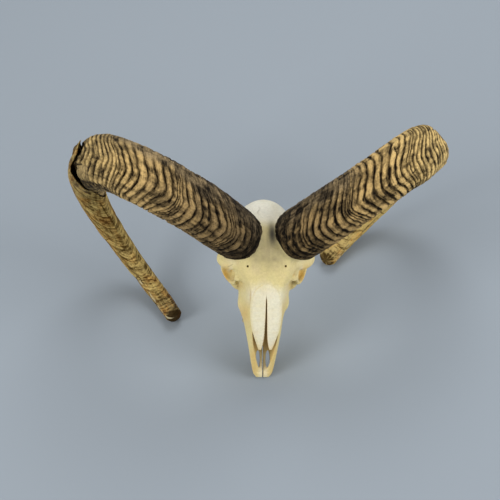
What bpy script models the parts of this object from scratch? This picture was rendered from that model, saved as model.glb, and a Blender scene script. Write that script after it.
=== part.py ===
"""A ram's skull with both horns, life size, without its lower jaw.

The skull is drawn in its own frame, in millimetres: X across the head, Y towards the nape and Z out
of the brow, with the origin on the midline between the two small holes over the eyes. The empty
named skull_rest then tips it forward, on to the muzzle and the undersides of the two horn curls,
the way it lies on a table. The bones are shaped as one solid and parted along their seams.
"""
import math

import bmesh
import bpy
import numpy as np
from mathutils import Matrix, Vector

MM = 0.001
GAP = 0.3                       # air between two bones, and between bone and horn
WELD = 0.01                     # points nearer than this are one point
GRAIN = 2.0                     # size of the facets that the bone is fused with, before it is thinned
BONE_FACETS = 3380              # triangles of all the bones, before they are parted

# How the skull lies: the turn about X brings the muzzle down, the turn about Y levels the horns. The
# shift then sets the lowest points on the floor, under the middle of the whole.
REST_PITCH = 45.2
REST_ROLL = 9.4
REST_X = -1.3
REST_Y = -87.4
REST_LIFT = 160.05

# ---------------------------------------------------------------------------------------------- bone
# The face, from the brow to the tip of the muzzle, as cross-sections: place along the skull, height
# of the midline, half width and fall of the roof's edge, half width and height of the cheek, half
# width of the gums and height of the palate.
FACE = (
    (22, 6, 36, 4, 42, -30, 22, -82),
    (0, 0, 36, 5, 47, -36, 29, -94),
    (-27, -4, 25, 4, 37, -46, 31, -95),
    (-50, -6, 21, 5, 34.5, -60, 31, -90),
    (-72, -9.5, 19, 5, 28, -58, 24, -82),
    (-95, -15, 16, 5, 24, -54, 17, -79),
    (-118, -31, 12, 4, 19.7, -57, 14, -79),
    (-143, -57, 11, 2, 15, -66, 11, -77),
    (-151, -62, 9.5, 2, 12.5, -68, 9.5, -75),
    (-155.5, -65, 7, 1, 9, -69, 7, -73),
)

# Rounded masses: centre and half sizes. A pair stands on both sides of the midline.
DOME = ((0, 46.5, -56), (41, 47, 44))
BROW_MASS = ((0, 26, -24), (42, 42, 30))
NAPE = ((0, 68, -84), (32, 20, 28))
BASE_MASS = ((0, 40, -84), (26, 30, 18))
PAIRED_MASSES = {
    "eye_roof": ((47, 11, -15), (20, 15, 10)),
    "cheek_front": ((37, -19, -53), (11, 13, 15)),
    "face_knob": ((30.5, -50, -62), (5.5, 10, 8)),
    "ear_mass": ((35, 54, -82), (11, 14, 18)),
    "ear_bulb": ((23, 42, -104), (8, 12, 11)),
    "neck_knuckle": ((14, 76, -107), (9, 12, 13)),
    "throat_plate": ((14, 12, -92), (4, 15, 20)),
}

# Bars: the points of the right one's axis, each with its radius.
PAIRED_BARS = {
    "cheek_arch": (((36, -24, -54), 7), ((45, -17, -58), 6), ((52, -4, -61), 5.5), ((56, 14, -64), 5),
                   ((54, 30, -68), 5), ((47, 43, -75), 5), ((38, 50, -80), 7)),
    "eye_bar": (((60, 15, -15), 6), ((60.5, 22, -36), 4.5), ((56, 19, -62), 5)),
    "ear_tube": (((26, 46, -98), 7), ((43, 50, -88), 5)),
    "neck_spur": (((29, 64, -94), 8), ((28, 68, -112), 5), ((26, 70, -130), 3)),
    "nape_ridge": (((0, 86, -58), 5), ((20, 80, -64), 5), ((36, 64, -80), 6)),
}
SKULL_FLOOR = (((0, 70, -104), 12), ((0, 34, -99), 10), ((0, -2, -88), 9))

EYE_RING = {"centre": (51.5, 0, -37), "radius": 22.5, "thickness": 3.8, "lean": 20.0, "sweep": 14.0}
EYE_HOLLOW = ((56, 0, -37), (24, 20.5, 20.5))
EYE_DEEP = ((44, 5, -39), (18, 16, 15))
TEAR_PIT = ((38, -25, -25), (6, 7, 9))
BROW_HOLE = {"place": (26, 1, 0), "radius": 1.6, "depth": 7.0}
NERVE_HOLE = ((29, -64, -64), (7, 4, 3))
NECK_HOLE = ((0, 80, -98), (9, 16, 9))
SLIT_HOLE = ((7.2, -130, -72), (3, 12.5, 17))

# The tooth row: place along the skull of its two ends, each tooth's share of the length, and the
# place across and the height of the crowns at both ends.
TOOTH_LENGTHS = (8, 9, 9, 13, 15, 17)
TOOTH_FRONT = -80
TOOTH_HEIGHT = 30
TOOTH_WIDTH = 12.5
ROW_FRONT = {"across": 20, "crown": -91}
ROW_BACK = {"across": 27, "crown": -113}

# Hollows that run along the face: place along the skull, half width, top and bottom.
NOSE_HOLLOW = ((-150, 2, -54, -61), (-134, 9, -44, -65), (-115, 13.5, -20, -65), (-95, 17, -6, -65),
               (-70, 18.5, -6, -64), (-46, 17, -9, -56), (-34, 9, -16, -40))
MOUTH_ROOF = ((-156, 4, -74, -99), (-137, 7, -73, -99), (-117, 10, -73, -99), (-80, 13, -76, -120),
              (-50, 16, -83, -140), (-8, 18, -88, -150), (2, 15, -90, -150))
NOSE_MOUTH_CUT = ((-87, 30), (-86, -19), (-113, -38), (-148, -62), (-175, -62), (-175, 30))

# A nose bone: place along the skull, inner edge, outer edge and height of its inner edge.
NOSE_BONE = ((-25, 0.2, 6, -3.6), (-29, 0.2, 12.5, -4), (-38, 0.2, 18.2, -4.8), (-46, 0.55, 20, -5.6),
             (-60, 0.9, 20.5, -7.6), (-75, 1.2, 19.7, -10.4), (-88, 1.6, 17.2, -14),
             (-98, 2.2, 14, -18), (-107, 3.5, 10.8, -22.4), (-114.5, 5.6, 8, -26.4))
NOSE_BONE_THICK = 3.0
NOSE_BONE_FALL = 4.5            # how far the outer edge lies under the midline, at the widest place
NOSE_HALF_WIDTH = 20.5
NOSE_BED_RISE = 12.0

# Seams, as outlines seen from the side (place along the skull, height).
CHEEK_SEAM = ((-38, -104), (-38, -52), (-25, -29), (12, -29), (25, -42), (25, -104))
CHEEK_INNER = 39.0
BROW_SEAM = ((-24.5, 60), (-24.5, -16), (-8, -29), (12, -43), (46, -43), (71, -12), (71, 60))
TEMPLE_SEAM = ((25, -104), (25, -30), (50, -30), (66, -60), (66, -100), (52, -114), (30, -114))
TEMPLE_INNER = 31.0
BASE_SEAM = ((-3, -170), (-3, -82), (34, -80), (66, -76), (140, -52), (140, -170))
CASE_SEAM = ((-3, -8), (-3, -170), (140, -170), (140, 70), (60, 70), (20, -8))
JAW_SEAM = ((-103, -110), (-103, -68), (-84, -36), (-77, -2), (-190, -2), (-190, -110))
REST_OF_FACE = ((-200, -200), (-200, 100), (100, 100), (100, -200))

# ---------------------------------------------------------------------------------------------- horn
# Each horn is a spiral: a circle that shrinks by a ratio over its length while it slides sideways.
# side is -1 on the left. heading and tip_out turn the circle's plane, start and end are the angles
# of its root and tip. set_back moves the root on to its bony core and fades out along the horn.
LEFT_HORN = {
    "side": -1, "root": (40, 35.5, 9), "set_back": (3, 10, -13), "heading": 41.1, "tip_out": 5.8,
    "radius": 141.9, "ratio": 0.87, "start": 128.5, "end": -144.6, "slide": -118.3, "pace": 1.21,
    "rim_slant": 0.45,
    "girth": ((0, 36), (0.1, 37.4), (0.2, 38), (0.42, 37), (0.52, 25.6), (0.62, 20.4), (0.8, 14.5),
              (1, 12)),
}
RIGHT_HORN = {
    "side": 1, "root": (43, 31, 4), "set_back": (3, 14, -7), "heading": 40.0, "tip_out": 4.1,
    "radius": 148.3, "ratio": 0.79, "start": 134.7, "end": -127.6, "slide": -43.9, "pace": 1.3,
    "rim_slant": 0.33,
    "girth": ((0, 37), (0.1, 36.8), (0.2, 36.2), (0.4, 34.7), (0.52, 24.6), (0.62, 19.5), (0.8, 15.5),
              (1, 13.6)),
}
HORN_DEPTH = 0.96               # a section's radial half size over its half width
SET_BACK_REACH = 0.3            # how far along the horn the set-back root fades
RIM_REACH = 0.15                # how far along the horn the slant of the rim fades
TIP_ROUNDING = 0.016            # share of the length that the blunt tip takes
HORN_RINGS = 42
HORN_SIDES = 16
CORE_RADIUS = 33.0
CORE_TOP = 10.0                 # how far the bony core reaches into its horn, from the rim
CORE_ROOT = 52.0                # length of the core's root, from the rim into the skull
CORE_TAPER = 9.0                # how much thinner the root's end is

HEAD_REACH = 120.0              # further across the head than any bone reaches
MASS_SIDES = 28                 # facets round a rounded mass, and from its one pole to the other
MASS_LAYERS = 18
RING_SIDES = 36                 # facets round an eye's rim, and round its section
RING_LAYERS = 10
HOLLOW_SIDES = 20
HOLLOW_SQUARENESS = 0.6         # 1 makes a hollow's section an ellipse, less makes it squarer
NOSE_BONE_SIDES = 7
TOOTH_SPLIT = 0.6               # air between two teeth of a row
TOOTH_CURVE = 0.7               # how soon the tooth row turns outwards

BONE = {"colour": (0.80, 0.74, 0.55), "roughness": 0.62}
PALE_BONE = {"colour": (0.86, 0.83, 0.72), "roughness": 0.58}
HORN = {"colour": (0.20, 0.14, 0.07), "roughness": 0.55}


# ------------------------------------------------------------------------------------------ the tools
def clear_scene():
    for old in list(bpy.data.objects):
        bpy.data.objects.remove(old, do_unlink=True)


def new_collection(name):
    made = bpy.data.collections.new(name)
    bpy.context.scene.collection.children.link(made)
    return made


def add_object(name, mesh, home):
    made = bpy.data.objects.new(name, mesh)
    home.objects.link(made)
    return made


def object_from(bm, name, home):
    """Turns a bmesh into an object, with its faces pointing out."""
    bmesh.ops.recalc_face_normals(bm, faces=bm.faces)
    mesh = bpy.data.meshes.new(name)
    bm.to_mesh(mesh)
    bm.free()
    return add_object(name, mesh, home)


def settled(source, name, home):
    """The mesh that an object's modifiers give, as a plain object in the same place."""
    bpy.context.view_layer.update()
    seen = source.evaluated_get(bpy.context.evaluated_depsgraph_get())
    mesh = bpy.data.meshes.new_from_object(seen)
    mesh.transform(source.matrix_world)
    bpy.data.objects.remove(source, do_unlink=True)
    return add_object(name, mesh, home)


def mass(centre, radii, home):
    """An ellipsoid."""
    bm = bmesh.new()
    place = Matrix.Translation(Vector(centre) * MM) @ Matrix.Diagonal((*(Vector(radii) * MM), 1))
    bmesh.ops.create_uvsphere(bm, u_segments=MASS_SIDES, v_segments=MASS_LAYERS, radius=1, matrix=place)
    return object_from(bm, "mass", home)


def bar(knots, home):
    """A round bar through knots, each a point and a radius."""
    curve = bpy.data.curves.new("bar", "CURVE")
    curve.dimensions = "3D"
    curve.bevel_depth = MM
    curve.bevel_resolution = 3
    curve.use_fill_caps = True
    spline = curve.splines.new("BEZIER")
    spline.bezier_points.add(len(knots) - 1)
    for point, (place, radius) in zip(spline.bezier_points, knots):
        point.co = Vector(place) * MM
        point.radius = radius
        point.handle_left_type = "AUTO"
        point.handle_right_type = "AUTO"
    solid = settled(add_object("bar", curve, home), "bar", home)
    bm = bmesh.new()
    bm.from_mesh(solid.data)
    bmesh.ops.remove_doubles(bm, verts=bm.verts, dist=WELD * MM)
    bm.to_mesh(solid.data)
    bm.free()
    return solid


def loft(rings, name, home):
    """Joins closed rings of equal count, one after another, and closes both ends."""
    bm = bmesh.new()
    rows = [[bm.verts.new(Vector(point) * MM) for point in ring] for ring in rings]
    count = len(rows[0])
    for row, following in zip(rows, rows[1:]):
        for i in range(count):
            j = (i + 1) % count
            bm.faces.new((row[i], row[j], following[j], following[i]))
    bm.faces.new(rows[0])
    bm.faces.new(rows[-1])
    return object_from(bm, name, home)


def slab(outline, low, high, name, home):
    """A flat outline, seen from the side, carried straight across the head from low to high."""
    return loft([[(x, y, z) for y, z in outline] for x in (low, high)], name, home)


def fused(solids, name, home, grain=GRAIN, rounds=2):
    """Overlapping solids grown together into one, with the creases between them softened."""
    bm = bmesh.new()
    for solid in solids:
        solid.data.transform(solid.matrix_world)
        bm.from_mesh(solid.data)
        bpy.data.objects.remove(solid, do_unlink=True)
    whole = object_from(bm, name, home)
    remesh = whole.modifiers.new("fuse", "REMESH")
    remesh.mode = "VOXEL"
    remesh.voxel_size = grain * MM
    smooth = whole.modifiers.new("soften", "SMOOTH")
    smooth.factor = 0.5
    smooth.iterations = rounds
    return settled(whole, name, home)


def thinned(solid, facets, home):
    """The same solid with about that many triangles."""
    solid.data.calc_loop_triangles()
    decimate = solid.modifiers.new("thin", "DECIMATE")
    decimate.ratio = min(1.0, facets / len(solid.data.loop_triangles))
    return settled(solid, solid.name, home)


def combined(solid, other, operation, name, home):
    """A new object: what a Boolean of two solids gives. The first solid stays as it was."""
    made = add_object(name, solid.data.copy(), home)
    cut = made.modifiers.new("cut", "BOOLEAN")
    cut.operation = operation
    cut.solver = "EXACT"
    cut.object = other
    return settled(made, name, home)


def cut_away(solid, other, home):
    """The solid without the other one, under its own name."""
    name = solid.name
    left = combined(solid, other, "DIFFERENCE", name, home)
    bpy.data.objects.remove(solid, do_unlink=True)
    left.name = name
    return left


def biggest_body(solid):
    """Keeps the largest of a solid's separate bodies, where a cut has left loose crumbs."""
    bm = bmesh.new()
    bm.from_mesh(solid.data)
    left = set(bm.verts)
    bodies = []
    while left:
        edge = [left.pop()]
        body = set(edge)
        while edge:
            for link in edge.pop().link_edges:
                for vert in link.verts:
                    if vert in left:
                        left.discard(vert)
                        body.add(vert)
                        edge.append(vert)
        bodies.append(body)
    keep = max(bodies, key=len)
    bmesh.ops.delete(bm, geom=[v for v in bm.verts if v not in keep], context="VERTS")
    bm.to_mesh(solid.data)
    bm.free()
    return solid


def sealed(solid):
    """Puts back a sliver of a face that a cut has dropped where two seams nearly meet."""
    bm = bmesh.new()
    bm.from_mesh(solid.data)
    bmesh.ops.holes_fill(bm, edges=[edge for edge in bm.edges if edge.is_boundary], sides=0)
    bmesh.ops.recalc_face_normals(bm, faces=bm.faces)
    bm.to_mesh(solid.data)
    bm.free()


def flipped(knots):
    return [((-x, y, z), radius) for (x, y, z), radius in knots]


def eased(table, t):
    """Reads a table of (place, value) at t, with a smooth step between each two places."""
    places, values = (np.array(column, float) for column in zip(*table))
    slopes = np.diff(values) / np.diff(places)
    inner = np.where(slopes[1:] * slopes[:-1] > 0, (slopes[1:] + slopes[:-1]) / 2, 0.0)
    tangents = np.concatenate([slopes[:1], inner, slopes[-1:]])
    i = np.clip(np.searchsorted(places, t, side="right") - 1, 0, len(places) - 2)
    span = places[i + 1] - places[i]
    u = (t - places[i]) / span
    rise = values[i + 1] - values[i]
    return (values[i] + rise * (3 * u**2 - 2 * u**3)
            + span * (tangents[i] * (u - 2 * u**2 + u**3) + tangents[i + 1] * (u**3 - u**2)))


# ------------------------------------------------------------------------------------------- the bone
def round_outline(corners, steps=4):
    """A smooth closed curve through corners (Catmull-Rom), with a few steps from each to the next."""
    corners = np.array(corners, float)
    before, after, beyond = (np.roll(corners, shift, axis=0) for shift in (1, -1, -2))
    points = []
    for k in range(steps):
        u = k / steps
        points.append(0.5 * (2 * corners + (after - before) * u
                             + (2 * before - 5 * corners + 4 * after - beyond) * u**2
                             + (3 * corners - before - 3 * after + beyond) * u**3))
    return np.stack(points, axis=1).reshape(-1, corners.shape[1])


def face_ring(back, top, roof, fall, cheek, crest, gum, palate):
    half = [(roof * 0.55, top - fall * 0.2), (roof, top - fall), (cheek, crest), (gum, palate + 2)]
    corners = [(0, top)] + half + [(0, palate)] + [(-x, z) for x, z in reversed(half)]
    return [(x, back, z) for x, z in round_outline(corners)]


def squared(value):
    return np.sign(value) * np.abs(value)**HOLLOW_SQUARENESS


def hollow_ring(back, half, top, bottom):
    middle = (top + bottom) / 2
    rise = (top - bottom) / 2
    turns = np.linspace(0, 2 * math.pi, HOLLOW_SIDES, endpoint=False)
    return [(half * squared(math.sin(a)), back, middle + rise * squared(math.cos(a))) for a in turns]


def eye_ring(side, home):
    """The bony rim round one eye: a torus that faces outwards, forwards and a little up."""
    radius = EYE_RING["radius"] * MM
    x, y, z = EYE_RING["centre"]
    bpy.ops.mesh.primitive_torus_add(major_radius=radius, minor_radius=EYE_RING["thickness"] * MM,
                                     major_segments=RING_SIDES, minor_segments=RING_LAYERS)
    ring = bpy.context.active_object
    for old in list(ring.users_collection):
        old.objects.unlink(ring)
    home.objects.link(ring)
    lean = math.radians(90 - EYE_RING["lean"]) * side
    ring.matrix_world = (Matrix.Translation(Vector((x * side, y, z)) * MM)
                         @ Matrix.Rotation(math.radians(-EYE_RING["sweep"]) * side, 4, "Z")
                         @ Matrix.Rotation(lean, 4, "Y"))
    return settled(ring, "eye_ring", home)


def teeth(side, home):
    """One row of cheek teeth: boxes that lean into each other, each on its place along the row."""
    made = []
    place = TOOTH_FRONT
    total = sum(TOOTH_LENGTHS)
    for length in TOOTH_LENGTHS:
        share = (place + length / 2 - TOOTH_FRONT) / total
        across = ROW_FRONT["across"] + (ROW_BACK["across"] - ROW_FRONT["across"]) * share**TOOTH_CURVE
        crown = ROW_FRONT["crown"] + (ROW_BACK["crown"] - ROW_FRONT["crown"]) * share
        centre = Vector((across * side, place + length / 2, crown + TOOTH_HEIGHT / 2)) * MM
        size = Vector((TOOTH_WIDTH, length - TOOTH_SPLIT, TOOTH_HEIGHT)) * MM
        bm = bmesh.new()
        bmesh.ops.create_cube(bm, size=1, matrix=Matrix.Translation(centre) @ Matrix.Diagonal((*size, 1)))
        made.append(object_from(bm, "tooth", home))
        place += length
    return made


def horn_core(horn, home):
    """The bony stump that carries a horn: from just inside its rim down into the brow."""
    centre, forward = spiral(horn, np.array([0.0, 0.01]))[0]
    root, up = Vector(centre), Vector(forward - centre).normalized()
    knots = ((root + up * CORE_TOP, CORE_RADIUS), (root - up * CORE_ROOT / 2, CORE_RADIUS - 1),
             (root - up * CORE_ROOT, CORE_RADIUS - CORE_TAPER))
    return bar(knots, home)


def bone_solids(home):
    """Every mass and bar of the skull, before they are fused."""
    made = [loft([face_ring(*station) for station in FACE], "face", home)]
    made += [mass(*lump, home) for lump in (DOME, BROW_MASS, NAPE, BASE_MASS)]
    made.append(bar(SKULL_FLOOR, home))
    for side in (1, -1):
        for (x, y, z), radii in PAIRED_MASSES.values():
            made.append(mass((x * side, y, z), radii, home))
        for knots in PAIRED_BARS.values():
            made.append(bar(knots if side > 0 else flipped(knots), home))
        made.append(eye_ring(side, home))
        made += teeth(side, home)
    made += [horn_core(horn, home) for horn in (LEFT_HORN, RIGHT_HORN)]
    return made


def bone_hollows(home):
    """What is open in the skull: eyes, nose, mouth's roof, tear pits and nerve holes."""
    made = [loft([hollow_ring(*station) for station in NOSE_HOLLOW], "nose_hollow", home),
            loft([hollow_ring(*station) for station in MOUTH_ROOF], "mouth_roof", home),
            slab(NOSE_MOUTH_CUT, -40, 40, "nose_mouth", home),
            mass(*NECK_HOLE, home)]
    for side in (1, -1):
        for (x, y, z), radii in (EYE_HOLLOW, EYE_DEEP, TEAR_PIT, NERVE_HOLE, SLIT_HOLE):
            made.append(mass((x * side, y, z), radii, home))
        x, y, z = BROW_HOLE["place"]
        reach = Vector((0, 0, BROW_HOLE["depth"]))
        place = Vector((x * side, y, z))
        made.append(bar(((place + reach, BROW_HOLE["radius"]), (place - reach, BROW_HOLE["radius"])),
                        home))
    return made


def nose_section(back, top, inner, outer, rise, depth):
    """A strip of the muzzle's roof: an arc from its inner to its outer edge, and one under it."""
    across = np.linspace(inner, outer, NOSE_BONE_SIDES)
    height = top - NOSE_BONE_FALL * (across / NOSE_HALF_WIDTH)**2
    upper = [(x, back, z + rise) for x, z in zip(across, height)]
    lower = [(x, back, z - depth) for x, z in zip(across, height)]
    return upper + lower[::-1]


def nose_bone(side, name, home):
    rings = [nose_section(back, top, inner * side, outer * side, 0, NOSE_BONE_THICK)
             for back, inner, outer, top in NOSE_BONE]
    return loft(rings, name, home)


def nose_bed(home):
    """The room for both nose bones and the air round them, open at its top."""
    rings = []
    last = len(NOSE_BONE) - 1
    for k, (back, inner, outer, top) in enumerate(NOSE_BONE):
        back += GAP * (k == 0) - GAP * (k == last)
        edge = outer + GAP
        rings.append(nose_section(back, top, -edge, edge, NOSE_BED_RISE, NOSE_BONE_THICK + GAP))
    return loft(rings, "nose_bed", home)


# ------------------------------------------------------------------------------------------- the horns
def spiral(horn, t):
    """The horn's axis at each t from 0 at the root to 1 at the tip, and its outward direction.

    The point runs round a circle whose radius shrinks as ratio to the power t, while it slides
    sideways by slide times t to the power pace; the outward direction is the circle's radius.
    """
    side = horn["side"]
    heading, tip_out = math.radians(horn["heading"]), math.radians(horn["tip_out"])
    along = np.array([side * math.cos(heading), math.sin(heading), 0.0])
    across = np.array([-side * math.sin(heading), math.cos(heading), 0.0])
    over = math.cos(tip_out) * np.array([0.0, 0.0, 1.0]) + math.sin(tip_out) * across
    aside = math.cos(tip_out) * across - math.sin(tip_out) * np.array([0.0, 0.0, 1.0])
    angle = np.radians(horn["start"] + (horn["end"] - horn["start"]) * t)
    outward = np.cos(angle)[:, None] * along + np.sin(angle)[:, None] * over
    reach = horn["radius"] * horn["ratio"]**t
    axis = reach[:, None] * outward + (horn["slide"] * t**horn["pace"])[:, None] * aside
    root = np.array(horn["root"], float) * [side, 1, 1]
    first = horn["radius"] * (math.cos(angle[0]) * along + math.sin(angle[0]) * over)
    set_back = np.array(horn["set_back"], float) * [side, 1, 1]
    fade = np.clip(1 - t / SET_BACK_REACH, 0, 1)**2
    return axis - first + root + fade[:, None] * set_back, outward


def horn_rings(horn, grow=0.0):
    """Cross-sections along a horn; grow thickens it and carries its rim further down."""
    t = np.linspace(0, 1, HORN_RINGS)
    t = np.concatenate([t[:-1], 1 - TIP_ROUNDING * np.array([0.5, 0.2, 0.0])])
    t = np.sort(t)
    axis, outward = spiral(horn, t)
    ahead = np.gradient(axis, t, axis=0)
    ahead /= np.linalg.norm(ahead, axis=1, keepdims=True)
    outward = outward - (outward * ahead).sum(1, keepdims=True) * ahead
    outward /= np.linalg.norm(outward, axis=1, keepdims=True)
    across = np.cross(ahead, outward)
    girth = eased(horn["girth"], t) + grow
    blunt = np.clip((1 - t) / TIP_ROUNDING, 0, 1)
    girth *= np.sqrt(1 - (1 - blunt)**2 * 0.85)
    slant = horn["rim_slant"] * np.clip(1 - t / RIM_REACH, 0, 1)
    rings = []
    for turn in np.linspace(0, 2 * math.pi, HORN_SIDES, endpoint=False):
        radial = girth * HORN_DEPTH * math.cos(turn)
        point = axis + (girth * math.sin(turn))[:, None] * across + radial[:, None] * outward
        rings.append(point - (slant * radial)[:, None] * ahead)
    rings = np.stack(rings, axis=1)
    rings[0] -= ahead[0] * grow
    return rings


# -------------------------------------------------------------------------------------- putting together
def finish(solid, name, look, home, rest):
    """Names a solid, gives it its material and hangs it on the empty that lays the skull down."""
    sealed(solid)
    solid.name = name
    solid.data.name = name
    material = bpy.data.materials.new(name)
    material.use_nodes = True
    shader = material.node_tree.nodes["Principled BSDF"]
    shader.inputs["Base Color"].default_value = (*look["colour"], 1)
    shader.inputs["Roughness"].default_value = look["roughness"]
    shader.inputs["Metallic"].default_value = 0.0
    solid.data.materials.clear()
    solid.data.materials.append(material)
    solid.data.shade_smooth()
    solid.data.set_sharp_from_angle(angle=math.radians(50))
    for old in list(solid.users_collection):
        old.objects.unlink(solid)
    home.objects.link(solid)
    solid.parent = rest


def parted(whole, outline, low, high, shop):
    """Parts a bone from the whole along an outline, and returns the bone and the rest."""
    inner = slab(outline, low, high, "seam", shop)
    bone = biggest_body(combined(whole, inner, "INTERSECT", "bone", shop))
    outer = slab(widened(outline), low - GAP, high + GAP, "seam_gap", shop)
    rest = cut_away(whole, outer, shop)
    for cutter in (inner, outer):
        bpy.data.objects.remove(cutter, do_unlink=True)
    return bone, rest


def widened(outline):
    """An outline moved out by the gap, corner by corner."""
    points = np.array(outline, float)
    before, after = np.roll(points, 1, axis=0), np.roll(points, -1, axis=0)
    turn = np.sign(np.sum(before[:, 0] * points[:, 1] - points[:, 0] * before[:, 1]))
    normals = []
    for start, end in ((before, points), (points, after)):
        run = (end - start) / np.linalg.norm(end - start, axis=1, keepdims=True)
        normals.append(turn * np.stack([run[:, 1], -run[:, 0]], axis=1))
    middle = normals[0] + normals[1]
    middle /= (middle * normals[0]).sum(1, keepdims=True)
    return points + GAP * middle


def build():
    clear_scene()
    skull = new_collection("ram_skull")
    shop = new_collection("shaping")
    rest = bpy.data.objects.new("skull_rest", None)
    skull.objects.link(rest)
    rest.rotation_euler = (math.radians(REST_PITCH), math.radians(REST_ROLL), 0)
    rest.location = (REST_X * MM, REST_Y * MM, REST_LIFT * MM)

    whole = fused(bone_solids(shop), "whole", shop)
    hollows = fused(bone_hollows(shop), "hollows", shop, rounds=1)
    whole = fused([cut_away(whole, hollows, shop)], "whole", shop, rounds=1)
    whole = thinned(whole, BONE_FACETS, shop)
    bpy.data.objects.remove(hollows, do_unlink=True)

    for name, horn in (("horn_left", LEFT_HORN), ("horn_right", RIGHT_HORN)):
        socket = loft(horn_rings(horn, GAP), "socket", shop)
        whole = cut_away(whole, socket, shop)
        bpy.data.objects.remove(socket, do_unlink=True)
        finish(loft(horn_rings(horn), name, shop), name, HORN, skull, rest)
    bed = nose_bed(shop)
    whole = cut_away(whole, bed, shop)
    bpy.data.objects.remove(bed, do_unlink=True)
    for name, side in (("nose_bone_left", -1), ("nose_bone_right", 1)):
        finish(nose_bone(side, name, shop), name, PALE_BONE, skull, rest)

    for name, low, high in (("cheekbone_left", -HEAD_REACH, -CHEEK_INNER),
                            ("cheekbone_right", CHEEK_INNER, HEAD_REACH)):
        bone, whole = parted(whole, CHEEK_SEAM, low, high, shop)
        finish(bone, name, BONE, skull, rest)
    bone, whole = parted(whole, BROW_SEAM, -HEAD_REACH, HEAD_REACH, shop)
    finish(bone, "brow", BONE, skull, rest)
    for name, low, high in (("temple_left", -HEAD_REACH, -TEMPLE_INNER),
                            ("temple_right", TEMPLE_INNER, HEAD_REACH)):
        bone, whole = parted(whole, TEMPLE_SEAM, low, high, shop)
        finish(bone, name, BONE, skull, rest)
    bone, whole = parted(whole, BASE_SEAM, -HEAD_REACH, HEAD_REACH, shop)
    finish(bone, "skull_base", BONE, skull, rest)
    bone, whole = parted(whole, CASE_SEAM, -HEAD_REACH, HEAD_REACH, shop)
    finish(bone, "braincase", BONE, skull, rest)
    for name, low, high in (("front_jaw_left", -HEAD_REACH, -GAP),
                            ("front_jaw_right", -GAP / 2, HEAD_REACH)):
        bone, whole = parted(whole, JAW_SEAM, low, high, shop)
        finish(bone, name, BONE, skull, rest)
    for name, low, high in (("upper_jaw_left", -HEAD_REACH, -GAP),
                            ("upper_jaw_right", -GAP / 2, HEAD_REACH)):
        bone, whole = parted(whole, REST_OF_FACE, low, high, shop)
        finish(bone, name, BONE, skull, rest)
    bpy.data.objects.remove(whole, do_unlink=True)
    bpy.data.collections.remove(shop)


build()
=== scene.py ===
"""A ram's skull with both curled horns, lying on a pale floor.

Every shape is drawn in the skull's own frame, in millimetres: X across the head, Y towards the nape and
Z out of the brow, with the origin between the two small holes over the eyes. laid() then tips the points
on to the muzzle and the two horn curls, as the solids lie, and turns them into metres.
"""

import math

import bpy
import numpy as np
from mathutils import Matrix, Vector


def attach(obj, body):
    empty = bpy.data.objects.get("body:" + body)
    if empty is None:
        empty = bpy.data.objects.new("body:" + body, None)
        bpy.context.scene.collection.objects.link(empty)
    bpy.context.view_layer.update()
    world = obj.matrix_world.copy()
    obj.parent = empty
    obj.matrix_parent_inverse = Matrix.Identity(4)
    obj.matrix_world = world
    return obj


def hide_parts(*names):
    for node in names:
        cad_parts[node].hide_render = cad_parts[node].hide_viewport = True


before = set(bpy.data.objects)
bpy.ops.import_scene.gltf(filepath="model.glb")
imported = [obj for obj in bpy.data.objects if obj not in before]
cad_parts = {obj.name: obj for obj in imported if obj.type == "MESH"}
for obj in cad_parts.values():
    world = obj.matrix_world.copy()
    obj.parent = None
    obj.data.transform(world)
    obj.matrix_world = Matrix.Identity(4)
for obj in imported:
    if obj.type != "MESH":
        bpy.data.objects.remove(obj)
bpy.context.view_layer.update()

MM = 0.001
SIDES = ((-1, "left"), (1, "right"))
NOISE_CELLS = 32                 # cells each way before the noise repeats
GAP = 0.3                        # air between two bones
OVERLAP = 1.3                    # how far a bone's skin reaches under the next one's
FRONT_GAP = 0.8                  # half the gap between the two bones at the tip of the muzzle

# How the skull lies, as in the solids.
REST_PITCH = 45.2
REST_ROLL = 9.4
REST_SHIFT = (-1.3, -87.4, 160.05)

# The camera: its turn about the skull's long axis, its distance from the brow's plane, the width of
# that plane that one pixel of the 500-pixel frame covers, and where the frame's middle lies on it.
CAMERA_YAW = 4.5
CAMERA_REACH = 2000.0
PIXEL = 1.36
FRAME_PIXELS = 500
VIEW_MIDDLE = (-16.9, 17.0)      # in pixels, across and along the skull
SENSOR = 36.0

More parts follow.
